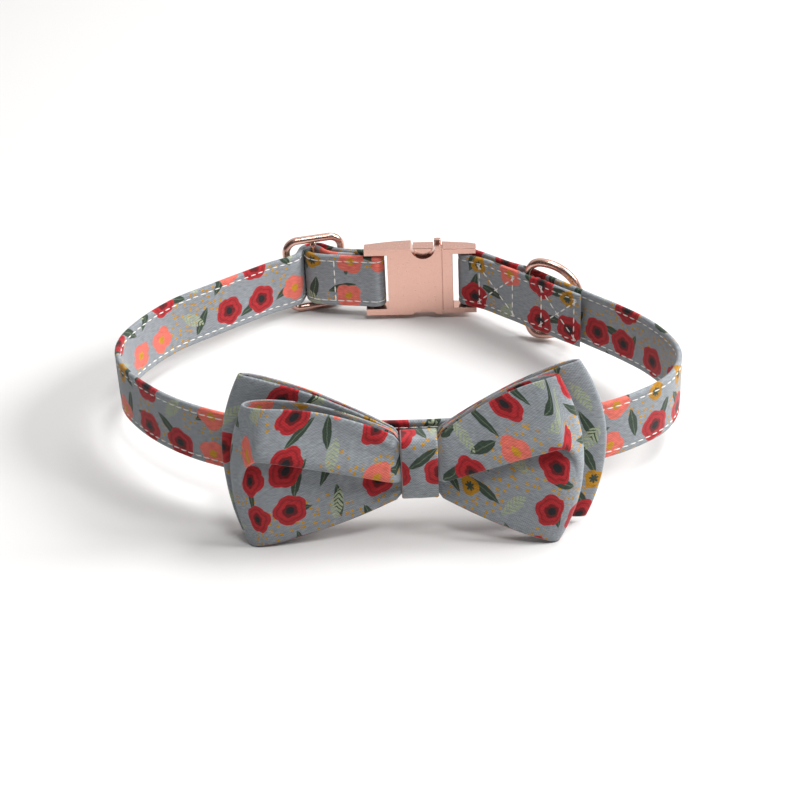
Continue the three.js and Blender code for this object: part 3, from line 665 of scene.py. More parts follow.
def strap_cloth():
    """The strap's two faces, as one ring of points at each step along it."""
    rings, flats = [], []
    around = section_places + [2 * STRAP_WIDTH - w for w in section_places[-2::-1]]
    for i, (middle, out) in enumerate(zip(strap_middle, strap_out)):
        along = strap_length * i / (len(strap_middle) - 1)
        waver = WAVER * noise.noise(Vector((along / WAVER_LENGTH, 3.1, 0)))
        rings.append([
            middle + out * (face * half_thickness(across, along)) + Vector((0, 0, across + waver))
            for face, row in ((1, section_places), (-1, section_places[-2:0:-1]))
            for across in row
        ])
        flats.append([(along, place) for place in around])
    return cloth_shell("strap_cloth", rings, flats, closed=False)


strap = strap_cloth()
print("strap faces:", len(strap.data.polygons))

# %% [markdown]
# ## The stitches
# A row of stitches is one small thing repeated along a line, which is work for Geometry Nodes.
# Each row is a line of points that lie on the cloth, and each point knows which way is out of
# the cloth. The tree steps along the line at the stitch's pitch and lays a short thread at each
# step, bent so that both of its ends dip into the cloth. The result is turned into plain mesh.

# %% The stitch tree
STITCH_LENGTH = 2.55
THREAD_THICKNESS = 0.46
STITCH_DIP = 0.32


def stitch_tree():
    tree = bpy.data.node_groups.new("stitches_along_a_line", "GeometryNodeTree")
    for name, kind, value in (
        ("Line", "NodeSocketGeometry", None),
        ("Pitch", "NodeSocketFloat", STITCH_PITCH * MM),
        ("Stitch length", "NodeSocketFloat", STITCH_LENGTH * MM),
        ("Thread radius", "NodeSocketFloat", THREAD_THICKNESS / 2 * MM),
        ("Dip", "NodeSocketFloat", STITCH_DIP * MM),
        ("Thread", "NodeSocketMaterial", None),
    ):
        made = tree.interface.new_socket(name, in_out="INPUT", socket_type=kind)
        if value is not None:
            made.default_value = value
    tree.interface.new_socket("Stitches", in_out="OUTPUT", socket_type="NodeSocketGeometry")
    given = add_node(tree, "NodeGroupInput").outputs

    line = add_node(tree, "GeometryNodeMeshToCurve", {"Mesh": given["Line"]})
    steps = add_node(
        tree, "GeometryNodeResampleCurve", {"Curve": line, "Length": given["Pitch"]},
        mode="LENGTH",
    )
    half = add_node(tree, MATH, {0: given["Stitch length"], 1: 0.5}, operation="MULTIPLY")
    back = add_node(tree, MATH, {0: half, 1: -1.0}, operation="MULTIPLY")
    down = add_node(tree, MATH, {0: given["Dip"], 1: -1.0}, operation="MULTIPLY")
    start = add_node(tree, "ShaderNodeCombineXYZ", {"X": back, "Z": down})
    crown = add_node(tree, "ShaderNodeCombineXYZ", {"Z": given["Dip"]})
    end = add_node(tree, "ShaderNodeCombineXYZ", {"X": half, "Z": down})
    bend = add_node(
        tree, "GeometryNodeCurveQuadraticBezier",
        {"Resolution": 5, "Start": start, "Middle": crown, "End": end},
    )
    round_thread = add_node(
        tree, "GeometryNodeCurvePrimitiveCircle",
        {"Resolution": 6, "Radius": given["Thread radius"]}, mode="RADIUS",
    )
    stitch = add_node(
        tree, "GeometryNodeCurveToMesh",
        {"Curve": bend, "Profile Curve": round_thread, "Fill Caps": True},
    )
    out = add_node(
        tree, "GeometryNodeInputNamedAttribute", {"Name": "out"}, data_type="FLOAT_VECTOR")
    standing = add_node(tree, "FunctionNodeAlignRotationToVector", {"Vector": out}, axis="Z")
    way = add_node(tree, "GeometryNodeInputTangent")
    laid = add_node(
        tree, "FunctionNodeAlignRotationToVector",
        {"Rotation": standing, "Vector": way}, axis="X", pivot_axis="Z",
    )
    row = add_node(
        tree, "GeometryNodeInstanceOnPoints",
        {"Points": steps, "Instance": stitch, "Rotation": laid},
    )
    real = add_node(tree, "GeometryNodeRealizeInstances", {"Geometry": row})
    sewn = add_node(
        tree, "GeometryNodeSetMaterial", {"Geometry": real, "Material": given["Thread"]})
    smooth_sewn = add_node(tree, "GeometryNodeSetShadeSmooth", {"Geometry": sewn})
    add_node(tree, "NodeGroupOutput", {"Stitches": smooth_sewn})
    return tree


sewing = stitch_tree()


def sewn_rows(name, rows):
    """One mesh of stitches along rows of (point, way out of the cloth)."""
    points, outs, edges = [], [], []
    for row in rows:
        edges += [(len(points) + i, len(points) + i + 1) for i in range(len(row) - 1)]
        points += [on_table(point) for point, _ in row]
        outs += [tip @ out for _, out in row]
    mesh = bpy.data.meshes.new(name)
    mesh.from_pydata(points, edges, [])
    known = mesh.attributes.new("out", "FLOAT_VECTOR", "POINT")
    for value, out in zip(known.data, outs):
        value.vector = out
    made = add_object(name, mesh)
    modifier = made.modifiers.new("sewing", "NODES")
    modifier.node_group = sewing
    sockets = {item.name: item.identifier for item in sewing.interface.items_tree
               if item.in_out == "INPUT"}
    modifier[sockets["Thread"]] = thread
    as_mesh(made)
    print(name, "has", len(made.data.polygons), "faces")
    return made


# %% [markdown]
# The strap is sewn along both edges, through all of its layers, so the rows show on both faces.
# Where it is doubled at the ring, two boxes with a cross in them hold the layers together.
# Their places are measured from the ring's bar, along the inner layer.

# %% Stitches on the strap
STITCH_LIFT = 0.03
BOX_LOW, BOX_HIGH = 3.4, 16.6
BOXES_FROM_RING = [(4.1, 19.1), (-22.8, -8.4)]
TAIL_SEAM_FROM_BUCKLE = 14.5
# The strap passes the left bar within this many mm of its start, and the ring's bar, once
# inside it and once outside, within these of its end
LEFT_BAR_WITHIN = 90
RING_INSIDE_WITHIN, RING_OUTSIDE_WITHIN = 60, 140


def strap_place(along, across, face):
    """A place on the strap's cloth, and the way out of it."""
    share = min(max(along / strap_length, 0.0), 1.0) * (len(strap_middle) - 1)
    i = min(int(share), len(strap_middle) - 2)
    middle = strap_middle[i].lerp(strap_middle[i + 1], share - i)
    out = strap_out[i].lerp(strap_out[i + 1], share - i).normalized() * face
    lift = half_thickness(across, along) + STITCH_LIFT
    return middle + out * lift + Vector((0, 0, across)), out


def nearest_along(point, start, end):
    """How far along the strap its middle is nearest to a point, between two places."""
    best = min(
        (i for i in range(len(strap_middle))
         if start <= strap_length * i / (len(strap_middle) - 1) <= end),
        key=lambda i: (strap_middle[i] - Vector((point[0], point[1], 0))).length,
    )
    return strap_length * best / (len(strap_middle) - 1)


edge_rows = [
    [strap_place(along, across, face) for along in range(2, int(strap_length) - 1)]
    for face in (1, -1) for across in (STITCH_INSET, STRAP_WIDTH - STITCH_INSET)
]
edge_stitches = sewn_rows("edge_stitches", edge_rows)

# %% Boxes and cross seams
ring_bar = D_RING_PLACE[:2]
inner_from = strap_length - RING_INSIDE_WITHIN
inner_at_ring = nearest_along(ring_bar, inner_from, strap_length)
outer_at_ring = nearest_along(ring_bar, strap_length - RING_OUTSIDE_WITHIN, inner_from)


def seam_row(start, end):
    """Points of a straight seam between two places (along, across) on the strap."""
    steps = max(2, round(math.hypot(end[0] - start[0], end[1] - start[1])))
    return [
        strap_place(mix(start[0], end[0], i / steps), mix(start[1], end[1], i / steps), 1)
        for i in range(steps + 1)
    ]


box_rows = []
for low, high in BOXES_FROM_RING:
    for middle, way in ((inner_at_ring, -1), (outer_at_ring, 1)):
        near, far = middle + way * low, middle + way * high
        corners = [(near, BOX_LOW), (near, BOX_HIGH), (far, BOX_HIGH), (far, BOX_LOW)]
        box_rows += [seam_row(corners[a], corners[b]) for a, b in ((0, 1), (2, 3), (0, 2), (1, 3))]
tail_seam = nearest_along(left_bar, 0, LEFT_BAR_WITHIN) - TAIL_SEAM_FROM_BUCKLE
box_rows.append(seam_row((tail_seam, BOX_LOW), (tail_seam, BOX_HIGH)))
box_stitches = sewn_rows("box_stitches", box_rows)

# %% [markdown]
# ## The wire pieces
# The slider is one bent and welded wire with a bar across its middle, and the leash ring is a
# wire bent to a D. Each is a circle carried along a flat closed path, which is straight along
# its sides and turns on arcs at its corners.

# %% Wire on a flat path
WIRE_SIDES = 20
BAR_SIDES, BAR_STEPS = 24, 8


def closed_wire(rows, thickness, place, turn):
    """Points and faces of a closed wire, whose middle passes through rows of (along, up,
    outward angle). thickness gives the wire's radius at a place along."""
    points = []
    for along, up, outward in rows:
        radius = thickness(along)
        for k in range(WIRE_SIDES):
            angle = math.tau * k / WIRE_SIDES
            in_plane = radius * math.cos(angle)
            points.append(turned(
                place, turn, along + in_plane * math.cos(outward), radius * math.sin(angle),
                up + in_plane * math.sin(outward),
            ))
    return points, grid_faces(len(rows), WIRE_SIDES, closed=True)


def upright_bar(place, turn, along, radius, height):
    """Points and faces of a round bar that stands in a turned piece, with flat ends."""
    points = []
    for step in range(BAR_STEPS + 1):
        up = mix(-height / 2, height / 2, step / BAR_STEPS)
        for k in range(BAR_SIDES):
            angle = math.tau * k / BAR_SIDES
            points.append(turned(
                place, turn, along + radius * math.cos(angle), radius * math.sin(angle), up))
    last = BAR_STEPS * BAR_SIDES
    ends = [tuple(range(BAR_SIDES)), tuple(last + k for k in reversed(range(BAR_SIDES)))]
    return points, grid_faces(BAR_STEPS + 1, BAR_SIDES, closed=False) + ends


def together(*shells):
    points, faces = [], []
    for shell_points, shell_faces in shells:
        faces += [tuple(i + len(points) for i in face) for face in shell_faces]
        points += shell_points
    return points, faces


# %% The slider and the leash ring
SLIDER_LENGTH = 22.4
SLIDER_HEIGHT = 29.2
SLIDER_CORNER = 4.2
SLIDER_BAR = 2.1
D_RING_HEIGHT = 31.0
D_RING_DEPTH = 21.0
D_RING_WIRE = 3.0
D_RING_CORNER = 4.5
CORNER_STEPS, BOW_STEPS = 14, 64


def slider_wire():
    wire = SLIDER_WIRE / 2
    half_length = SLIDER_LENGTH / 2 - wire - SLIDER_CORNER
    half_height = SLIDER_HEIGHT / 2 - wire - SLIDER_CORNER
    rows = []
    for corner, start in (((1, 1), 0), ((-1, 1), 90), ((-1, -1), 180), ((1, -1), 270)):
        centre = (corner[0] * half_length, corner[1] * half_height)
        rows += part_of_circle(centre, SLIDER_CORNER, start, start + 90, CORNER_STEPS)
    ring = closed_wire(rows, lambda along: wire, SLIDER_CENTRE, SLIDER_TURN)
    bar = upright_bar(
        SLIDER_CENTRE, SLIDER_TURN, 0, SLIDER_BAR / 2, SLIDER_HEIGHT - SLIDER_WIRE)
    made = piece_from("slider_wire", *together(ring, bar))
    made.data.materials.append(rose_gold)
    return made


def leash_ring():
    wire, bar = D_RING_WIRE / 2, D_RING_BAR / 2
    bow_radius = D_RING_HEIGHT / 2 - wire
    bow_centre = D_RING_DEPTH - bar - wire - bow_radius
    inset = D_RING_CORNER - bow_centre
    corner_up = math.sqrt((bow_radius - D_RING_CORNER) ** 2 - inset ** 2)
    meet = math.degrees(math.atan2(corner_up, inset))
    upper, lower = (D_RING_CORNER, corner_up), (D_RING_CORNER, -corner_up)
    rows = part_of_circle((bow_centre, 0), bow_radius, -meet, meet, BOW_STEPS)
    rows += part_of_circle(upper, D_RING_CORNER, meet, 180, CORNER_STEPS)[1:]
    rows += part_of_circle(lower, D_RING_CORNER, 180, 360 - meet, CORNER_STEPS)[:-1]
    shell = closed_wire(
        rows, lambda along: mix(bar, wire, smooth(along, 0, D_RING_CORNER / 2)),
        D_RING_PLACE, D_RING_TURN,
    )
    made = piece_from("leash_ring_wire", *shell)
    made.data.materials.append(rose_gold)
    return made


slider = slider_wire()
ring = leash_ring()
for wire in (slider, ring):
    print(wire.name, "has", len(wire.data.polygons), "faces")

# %% [markdown]
# ## The buckle
# A side-release buckle has a housing with a slot for the strap at one end, and an insert with
# two sprung catches that snap into it. Both are castings. Each starts as a flat outline that is
# given a thickness and a curved outer side, and a Bevel modifier rounds its edges as polishing
# does. The insert's press pads show as shallow discs in the housing's notches.

# %% A cast plate from its outline
BUCKLE_HEIGHT = 26.0
BUCKLE_THICKNESS = 7.0
BUCKLE_SEAM = 7.6
BUCKLE_ARM = 2.4
HOUSING_SLOT_END = -11.6
INSERT_SLOT_END = 11.4
NOTCH_ALONG = 1.1
NOTCH_HALF = 4.3
NOTCH_DEPTH = {1: 4.0, -1: 1.8}
PAD_HALF = 3.6
PAD_DEPTH = {1: 2.0, -1: 1.1}
PAD_THICKNESS = 5.2
STEM_HALF = 2.1
TONGUE_REACH = 1.2
TONGUE_HALF_HEIGHT = 12.0
TONGUE_INNER = -2.3
PRONG_THICKNESS = 3.0
PRONG_DEPTH = 4.2
PRONG_TIP = -6.0
TAB_HEIGHT = 1.3
TAB_FRONT = 2.7
TAB_BACK = 0.5
TAB_ROOT = 2.0
CAST_ROUND, TAB_ROUND, PRONG_ROUND = 0.5, 0.4, 0.3
CHORD_STEPS = 24
# Joined pieces run into each other by about this much, and their faces are kept this far from
# sharing a plane
OVERLAP = 1.0
APART = 0.01
half_plate = BUCKLE_THICKNESS / 2
# The thickness at places along the buckle, whose outer side is curved
BUCKLE_PROFILE = [
    (-19.6, 4.3), (-13.0, 5.8), (-6.0, 6.8), (0.5, 7.0), (7.6, 6.3), (13.0, 5.5), (17.0, 4.9),
    (19.6, 4.0),
]


def cast_plate(name, outline, low, high, rounding):
    """A plate from its outline (along, up), between two places out from the neck."""
    count = len(outline)
    points = [
        turned(BUCKLE_CENTRE, BUCKLE_TURN, along, out, up)
        for out in (low, high) for along, up in outline
    ]
    faces = [tuple(range(count)), tuple(reversed(range(count, 2 * count)))]
    faces += [(i, i + count, (i + 1) % count + count, (i + 1) % count) for i in range(count)]
    return polished(piece_from(name, points, faces), rounding)


def polished(made, rounding):
    """The casting with its edges rounded and its flat faces kept flat."""
    made.data.polygons.foreach_set("use_smooth", [False] * len(made.data.polygons))
    if rounding:
        bevel = made.modifiers.new("polished edges", "BEVEL")
        bevel.width = rounding * MM
        bevel.segments = 4
        bevel.limit_method = "ANGLE"
        bevel.angle_limit = math.radians(35)
        bevel.harden_normals = True
        as_mesh(made)
    return made


outer_curve, _ = smooth_curve([Vector((*row, 0)) for row in BUCKLE_PROFILE], 1.0)


def outer_side(along):
    """How far out the buckle's outer side is at a place along it."""
    for before, after in zip(outer_curve, outer_curve[1:]):
        if along <= after.x:
            break
    share = (along - before.x) / (after.x - before.x)
    return mix(before.y, after.y, share) - half_plate


def curved_plate(name, outline):
    """A plate with a flat inner side, whose outer side follows the buckle's curve. It is cut
    into strips first, so that each strip can take its own height."""
    plate = bmesh.new()
    inner, outer = ([plate.verts.new((along, out, up)) for along, up in outline]
                    for out in (-half_plate, half_plate))
    plate.faces.new(inner)
    plate.faces.new(reversed(outer))
    for i in range(len(outline)):
        j = (i + 1) % len(outline)
        plate.faces.new((inner[i], outer[i], outer[j], inner[j]))
    for station in outer_curve[1:-1]:
        bmesh.ops.bisect_plane(plate, geom=[*plate.verts, *plate.edges, *plate.faces],
                               plane_co=(station.x, 0, 0), plane_no=(1, 0, 0))
    plate.verts.index_update()
    points = [
        turned(BUCKLE_CENTRE, BUCKLE_TURN, v.co.x, outer_side(v.co.x) if v.co.y > 0 else v.co.y,
               v.co.z)
        for v in plate.verts
    ]
    faces = [tuple(v.index for v in face.verts) for face in plate.faces]
    plate.free()
    return polished(piece_from(name, points, faces), CAST_ROUND)


def joined(base, others, operation):
    """The base with other pieces joined to it or cut from it. The others are used up."""
    for other in others:
        cut = base.modifiers.new(operation.lower(), "BOOLEAN")
        cut.object = other
        cut.operation = operation
        cut.solver = "EXACT"
        as_mesh(base)
        bpy.data.objects.remove(other)
    return base


def chord_arc(half, depth, up, from_left=True):
    """Part of a circle over a chord round the notch, bulging towards the buckle's middle."""
    radius = (half * half + depth * depth) / (2 * depth)
    swing = math.asin(half / radius)
    inward = -math.copysign(1, up)
    arc_points = []
    for i in range(CHORD_STEPS + 1):
        share = i / CHORD_STEPS
        turn = mix(-swing, swing, share if from_left else 1 - share)
        arc_points.append((
            NOTCH_ALONG + radius * math.sin(turn),
            up + inward * (depth - radius + radius * math.cos(turn)),
        ))
    return arc_points


def rectangle(low_along, low_up, high_along, high_up):
    return [(low_along, low_up), (high_along, low_up), (high_along, high_up),
            (low_along, high_up)]


# %% Housing and insert
arm_up = BUCKLE_HEIGHT / 2 - BUCKLE_ARM
half_prong, half_pad = PRONG_THICKNESS / 2, PAD_THICKNESS / 2


def strap_bar(along):
    return piece_from("bar", *upright_bar(
        BUCKLE_CENTRE, BUCKLE_TURN, along, BUCKLE_BAR_RADIUS, 2 * arm_up + OVERLAP))


def buckle_housing():
    top, end = BUCKLE_HEIGHT / 2, -BUCKLE_LENGTH / 2
    seam = BUCKLE_SEAM - GAP / 2
    outline = [
        (end, top), (end, arm_up), (HOUSING_SLOT_END, arm_up), (HOUSING_SLOT_END, -arm_up),
        (end, -arm_up), (end, -top),
        *chord_arc(NOTCH_HALF, NOTCH_DEPTH[-1], -top),
        (seam, -top), (seam, top),
        *chord_arc(NOTCH_HALF, NOTCH_DEPTH[1], top, from_left=False),
    ]
    plate = curved_plate("buckle_housing_cast", outline)
    tab = cast_plate("tab", rectangle(
        NOTCH_ALONG + PAD_HALF + GAP, top - TAB_ROOT, BUCKLE_SEAM - GAP, top + TAB_HEIGHT,
    ), TAB_BACK, TAB_FRONT, TAB_ROUND)
    joined(plate, [tab, strap_bar(left_bar_along)], "UNION")
    hollow = cast_plate("hollow", rectangle(
        PRONG_TIP - 1.5, GAP - arm_up, BUCKLE_SEAM + OVERLAP, arm_up - GAP,
    ), -half_prong - GAP, half_prong + GAP, 0)
    stem_slot = cast_plate("stem_slot", rectangle(
        NOTCH_ALONG - STEM_HALF - GAP, -top - OVERLAP,
        NOTCH_ALONG + STEM_HALF + GAP, 2 * GAP - arm_up,
    ), -half_prong - GAP, half_prong + GAP, 0)
    socket = cast_plate("socket", rectangle(
        BUCKLE_SEAM - TONGUE_REACH - GAP, -TONGUE_HALF_HEIGHT - GAP,
        BUCKLE_SEAM + 1.2 * OVERLAP, TONGUE_HALF_HEIGHT + GAP,
    ), TONGUE_INNER - GAP, half_prong + GAP - APART, 0)
    return joined(plate, [hollow, stem_slot, socket], "DIFFERENCE")


def buckle_insert():
    top, end = BUCKLE_HEIGHT / 2 - GAP, BUCKLE_LENGTH / 2
    start = BUCKLE_SEAM + GAP / 2
    outline = [
        (start, top), (start, -top), (end, -top), (end, -arm_up), (INSERT_SLOT_END, -arm_up),
        (INSERT_SLOT_END, arm_up), (end, arm_up), (end, top),
    ]
    plate = curved_plate("buckle_insert_cast", outline)
    prong_top = arm_up - 2 * GAP
    added = [
        strap_bar(right_bar_along),
        cast_plate("tongue", rectangle(
            BUCKLE_SEAM - TONGUE_REACH, -TONGUE_HALF_HEIGHT, start + OVERLAP, TONGUE_HALF_HEIGHT,
        ), TONGUE_INNER, half_prong, 0),
    ]
    for side in (-1, 1):
        outer, inner = side * prong_top, side * (prong_top - PRONG_DEPTH)
        added.append(cast_plate("prong", rectangle(
            PRONG_TIP, min(outer, inner), start + 0.9 * OVERLAP, max(outer, inner),
        ), APART - half_prong, half_prong - APART, PRONG_ROUND))
        disc = chord_arc(PAD_HALF, PAD_DEPTH[side], side * top)
        added.append(cast_plate("press_pad", disc, -half_pad, half_pad, PRONG_ROUND))
        stem = sorted((side * (prong_top - OVERLAP), side * (top - OVERLAP / 2)))
        added.append(cast_plate("stem", rectangle(
            NOTCH_ALONG - STEM_HALF, stem[0], NOTCH_ALONG + STEM_HALF, stem[1],
        ), -half_prong - APART, half_prong + APART, 0))
    return joined(plate, added, "UNION")


housing = buckle_housing()
insert = buckle_insert()
for cast in (housing, insert):
    cast.data.materials.clear()
    cast.data.materials.append(rose_gold)
    print(cast.name, "has", len(cast.data.polygons), "faces")

# %% [markdown]
# ## The bow
# Two cloth loops lie one on the other. Each is a flat tube of pressed cotton, pinched to a narrow
# waist by the band and open along its top and bottom, so one can look down into it. The front
# loop is folded in a long pleat across each wing. A wing is drawn by a rule: one number runs from
# the pinch to the outer fold, and rows run from the lower rim to the upper rim. The rule gives
# each place its reach, its depth and its height, and the cloth gets a thickness afterwards.

# %% The wings' sizes
PINCH_HALF_HEIGHT = 8.7
PINCH_HALF_WIDTH = 5.4
PINCH_HALF_DEPTH = 0.7
SHOULDER_HEIGHT = 1.6
SHOULDER_REACH = 0.04
MOUTH_SPREAD = 1.3
OUTER_FOLD_SHARPNESS = 10
PLEAT_SPREAD = 1.3
PLEAT_START_Z, PLEAT_END_Z = 7.2, 19.6
PLEAT_REACH = 7.0
WING_KEYS = (
    "reach", "reach_top", "reach_bottom", "top_y", "top_z", "top_spread",
    "bottom_y", "bottom_z", "bottom_spread", "mouth_top", "mouth_bottom", "belly",
)
WINGS = {
    ("front", -1): (55.4, 50.6, 51.4, -50.2, 31.3, 2.2, -54.4, -15.0, 1.35, 3.1, 1.9, 2.6),
    ("front", 1): (48.2, 41.2, 40.8, -47.8, 35.2, 1.6, -58.2, -15.3, 1.1, 1.5, 2.2, 3.4),
    ("back", -1): (58.0, 51.4, 54.2, -43.6, 37.6, 1.25, -48.6, -13.6, 1.35, 1.5, 1.3, 0.0),
    ("back", 1): (55.5, 47.8, 49.6, -42.9, 37.2, 1.25, -50.8, -12.0, 1.35, 1.3, 1.3, 0.0),
}
PINCH_Y = {"front": -52.65, "back": -49.85}

# %% The rule for a wing
# The pleat's lip as (up, out towards the viewer, in mm): down the upper cloth, round the lip,
# back under it, and down the lower cloth
LIP = [
    (4.0, 1.8), (2.4, 2.1), (1.0, 2.35), (-0.3, 2.5), (-1.3, 2.4), (-1.75, 2.0), (-1.4, 1.4),
    (-0.6, 0.8), (0.4, 0.15), (1.2, -0.5), (1.4, -1.05), (0.8, -1.5), (-0.5, -1.6),
    (-2.0, -1.35), (-3.8, -1.0),
]
ROWS_ABOVE, ROWS_BELOW = 16, 16
# Shares of the way from the pinch to the outer fold: where the pleat closes, where the lip
# rises beside the band, and where its swell rises and fades
PLEAT_CLOSES = (0.84, 0.99)
LIP_RISES, SWELL_RISES = (0, 0.04), (0, 0.06)
SWELL_FADES, SWELL_LOSS = (0.3, 0.95), 0.6
# Beside the band the cloth has nowhere to go, so it swells further over the pleat
LIP_SWELL = 0.4
LIP_UNDER_BAND = 0.5
WING_STEPS = 46
FOLD_CLOSENESS = 1.7


def rim_height(wing, u, side):
    outer = wing["top_z"] if side > 0 else wing["bottom_z"]
    spread = wing["top_spread"] if side > 0 else wing["bottom_spread"]
    shoulder = SHOULDER_HEIGHT * smooth(u, 0, SHOULDER_REACH)
    inner = PINCH_MIDDLE_Z + side * (PINCH_HALF_HEIGHT + shoulder)
    return mix(inner, outer, 1 - (1 - u) ** spread)


def wing_rows(bottom, top, pleat_z, pleat):
    """For each row its height and how far the pleat moves it out."""
    even = len(LIP) + ROWS_ABOVE + ROWS_BELOW
    rows = []
    low_end = pleat_z + LIP[-1][0]
    high_end = pleat_z + LIP[0][0]
    for i in range(even):
        spread = mix(bottom, top, i / (even - 1))
        if i < ROWS_BELOW:
            z = mix(bottom, low_end, i / ROWS_BELOW)
            fall = math.exp((z - low_end) / PLEAT_REACH)
            out = LIP[-1][1] * fall
        elif i < ROWS_BELOW + len(LIP):
            up, out = LIP[len(LIP) - 1 - (i - ROWS_BELOW)]
            z = pleat_z + up
        else:
            z = mix(high_end, top, (i - ROWS_BELOW - len(LIP) + 1) / ROWS_ABOVE)
            out = LIP[0][1] * math.exp((high_end - z) / PLEAT_REACH)
        rows.append((mix(spread, z, pleat), out * pleat))
    return rows


def wing_column(loop, side, u, face):
    """The places on the middle of the cloth at one distance from the pinch."""
    wing = dict(zip(WING_KEYS, WINGS[loop, side]))
    top, bottom = rim_height(wing, u, 1), rim_height(wing, u, -1)
    middle, half = (top + bottom) / 2, (top - bottom) / 2
    pleated = loop == "front" and face < 0
    pleat = 1 - smooth(u, *PLEAT_CLOSES) if pleated else 0.0
    pleat_z = mix(PLEAT_START_Z, PLEAT_END_Z, 1 - (1 - max(u, 0)) ** PLEAT_SPREAD)
    swell = mix(LIP_UNDER_BAND, 1, smooth(u, *LIP_RISES))
    swell += LIP_SWELL * smooth(u, *SWELL_RISES) * (1 - SWELL_LOSS * smooth(u, *SWELL_FADES))
    column = []
    for z, out in wing_rows(bottom, top, pleat_z, pleat):
        out *= swell
        v = min(max((z - middle) / half, -1), 1)
        corner = wing["reach_top"] if v > 0 else wing["reach_bottom"]
        reach = mix(wing["reach"], corner, v * v)
        outer_y = mix(wing["bottom_y"], wing["top_y"], (v + 1) / 2)
        mouth = mix(wing["mouth_bottom"], wing["mouth_top"], (v + 1) / 2)
        belly = wing["belly"] * (1 - v * v) if face < 0 else 0.0
        opened = mix(PINCH_HALF_DEPTH, mouth + belly, max(u, 0) ** MOUTH_SPREAD)
        opened *= math.sqrt(max(0.0, 1 - max(u, 0) ** OUTER_FOLD_SHARPNESS))
        ease = u * (2 - u)
        y = mix(PINCH_Y[loop], outer_y, ease) + face * opened - out
        x = BOW_MIDDLE_X + side * mix(PINCH_HALF_WIDTH, reach, u)
        column.append(Vector((x, y, z)))
    return column


# %% [markdown]
# Pressed cotton is never quite even. Short gathers run out from the band, where the cloth is
# squeezed together, and long soft waves cross the wings. Both move the cloth in and out by less
# than a millimetre, and both come from noise that is the same in every run.

# %% The bow's cloth
BOW_WALL = 0.9
RIM_STEPS = 4
GATHER_DEPTH = 0.9
GATHER_REACH = 9.0
GATHER_RISE = 2.5
GATHER_FAN, GATHERS = 14.0, 9
WAVE_DEPTH = 0.35
WAVE_RISE = (3, 20)
WAVE_LENGTH, WAVE_HEIGHT = 16.0, 11.0
NOISE_PLACE = {"front": 11.0, "back": 47.0}
# How far the print on the inside of a loop is moved on, in mm
INSIDE_SHIFT = 61.0
CLOTH_OFFSETS = {"front": (0.0, 120.0), "back": (300.0, 170.0), "band": (131.0, 247.0)}


def softened(point, loop, side):
    """A place of the bow with its gathers and waves, in and out of the cloth."""
    from_band = abs(point.x - BOW_MIDDLE_X) - PINCH_HALF_WIDTH
    if from_band < 0:
        return point
    seed = NOISE_PLACE[loop] + 5 * side
    fan = math.atan2(point.z - PINCH_MIDDLE_Z, from_band + GATHER_FAN)
    near = smooth(from_band, 0, GATHER_RISE) * math.exp(-from_band / GATHER_REACH)
    gather = GATHER_DEPTH * near * noise.noise(Vector((fan * GATHERS, seed, 0)))
    wave = WAVE_DEPTH * smooth(from_band, *WAVE_RISE) * noise.noise(
        Vector((point.x / WAVE_LENGTH, seed, point.z / WAVE_HEIGHT)))
    return point + Vector((0, gather + wave, 0))


def cloth_tube(name, grid, wall, flat_places):
    """A cloth wall round a grid of its middle: stations run round the tube and rows from one
    open rim to the other, and both rims are round."""
    rows = len(grid[0])
    bends = [math.pi * step / RIM_STEPS for step in range(1, RIM_STEPS)]
    rings, flats = [], []
    for i, (station, outside) in enumerate(zip(grid, flat_places)):
        before, after = grid[i - 1], grid[(i + 1) % len(grid)]
        out = []
        for j in range(rows):
            around = after[j] - before[j]
            across = station[min(j + 1, rows - 1)] - station[max(j - 1, 0)]
            out.append(around.cross(across).normalized() * (wall / 2))
        top_way = (station[-1] - station[-2]).normalized() * (wall / 2)
        low_way = (station[0] - station[1]).normalized() * (wall / 2)
        rings.append([
            *(place + way for place, way in zip(station, out)),
            *(station[-1] + out[-1] * math.cos(a) + top_way * math.sin(a) for a in bends),
            *(place - way for place, way in zip(station[::-1], out[::-1])),
            *(station[0] - out[0] * math.cos(a) + low_way * math.sin(a) for a in bends),
        ])
        inside = [(x, y + INSIDE_SHIFT) for x, y in outside]
        flats.append([*outside, *[outside[-1]] * len(bends), *inside[::-1],
                      *[inside[0]] * len(bends), outside[0]])
    seam = flat_places[-1][0][0] + (grid[0][0] - grid[-1][0]).length
    flats.append([(seam, y) for _, y in flats[0]])
    return cloth_shell(name, rings, flats, closed=True)


def bow(loop):
    """A bow's loop, from the outer fold of one wing round to where it began."""
    outward = [1 - (1 - i / WING_STEPS) ** FOLD_CLOSENESS for i in range(WING_STEPS + 1)]
    stations = []
    for face in (-1, 1):
        stations += [(u, face, face) for u in reversed(outward)]
        stations += [(u, -face, face) for u in outward[:-1]]
    grid, flats = [], []
    along, height = CLOTH_OFFSETS[loop]
    for u, side, face in stations:
        column = [softened(place, loop, side) for place in wing_column(loop, side, u, face)]
        middle = len(column) // 2
        if grid:
            along += (column[middle] - grid[-1][middle]).length
        ups = [height]
        for below, place in zip(column, column[1:]):
            ups.append(ups[-1] + (place - below).length)
        grid.append(column)
        flats.append([(along, up) for up in ups])
    return cloth_tube(f"bow_{loop}_cloth", grid, BOW_WALL, flats)


bow_front = bow("front")
bow_back = bow("back")
for loop in (bow_front, bow_back):
    print(loop.name, "has", len(loop.data.polygons), "faces")

# %% [markdown]
# ### The band and the pad
# A short band of the same cloth is wrapped round the waist of both loops and holds them
# together. Behind it, a small pad of elastic joins the bow to the strap.

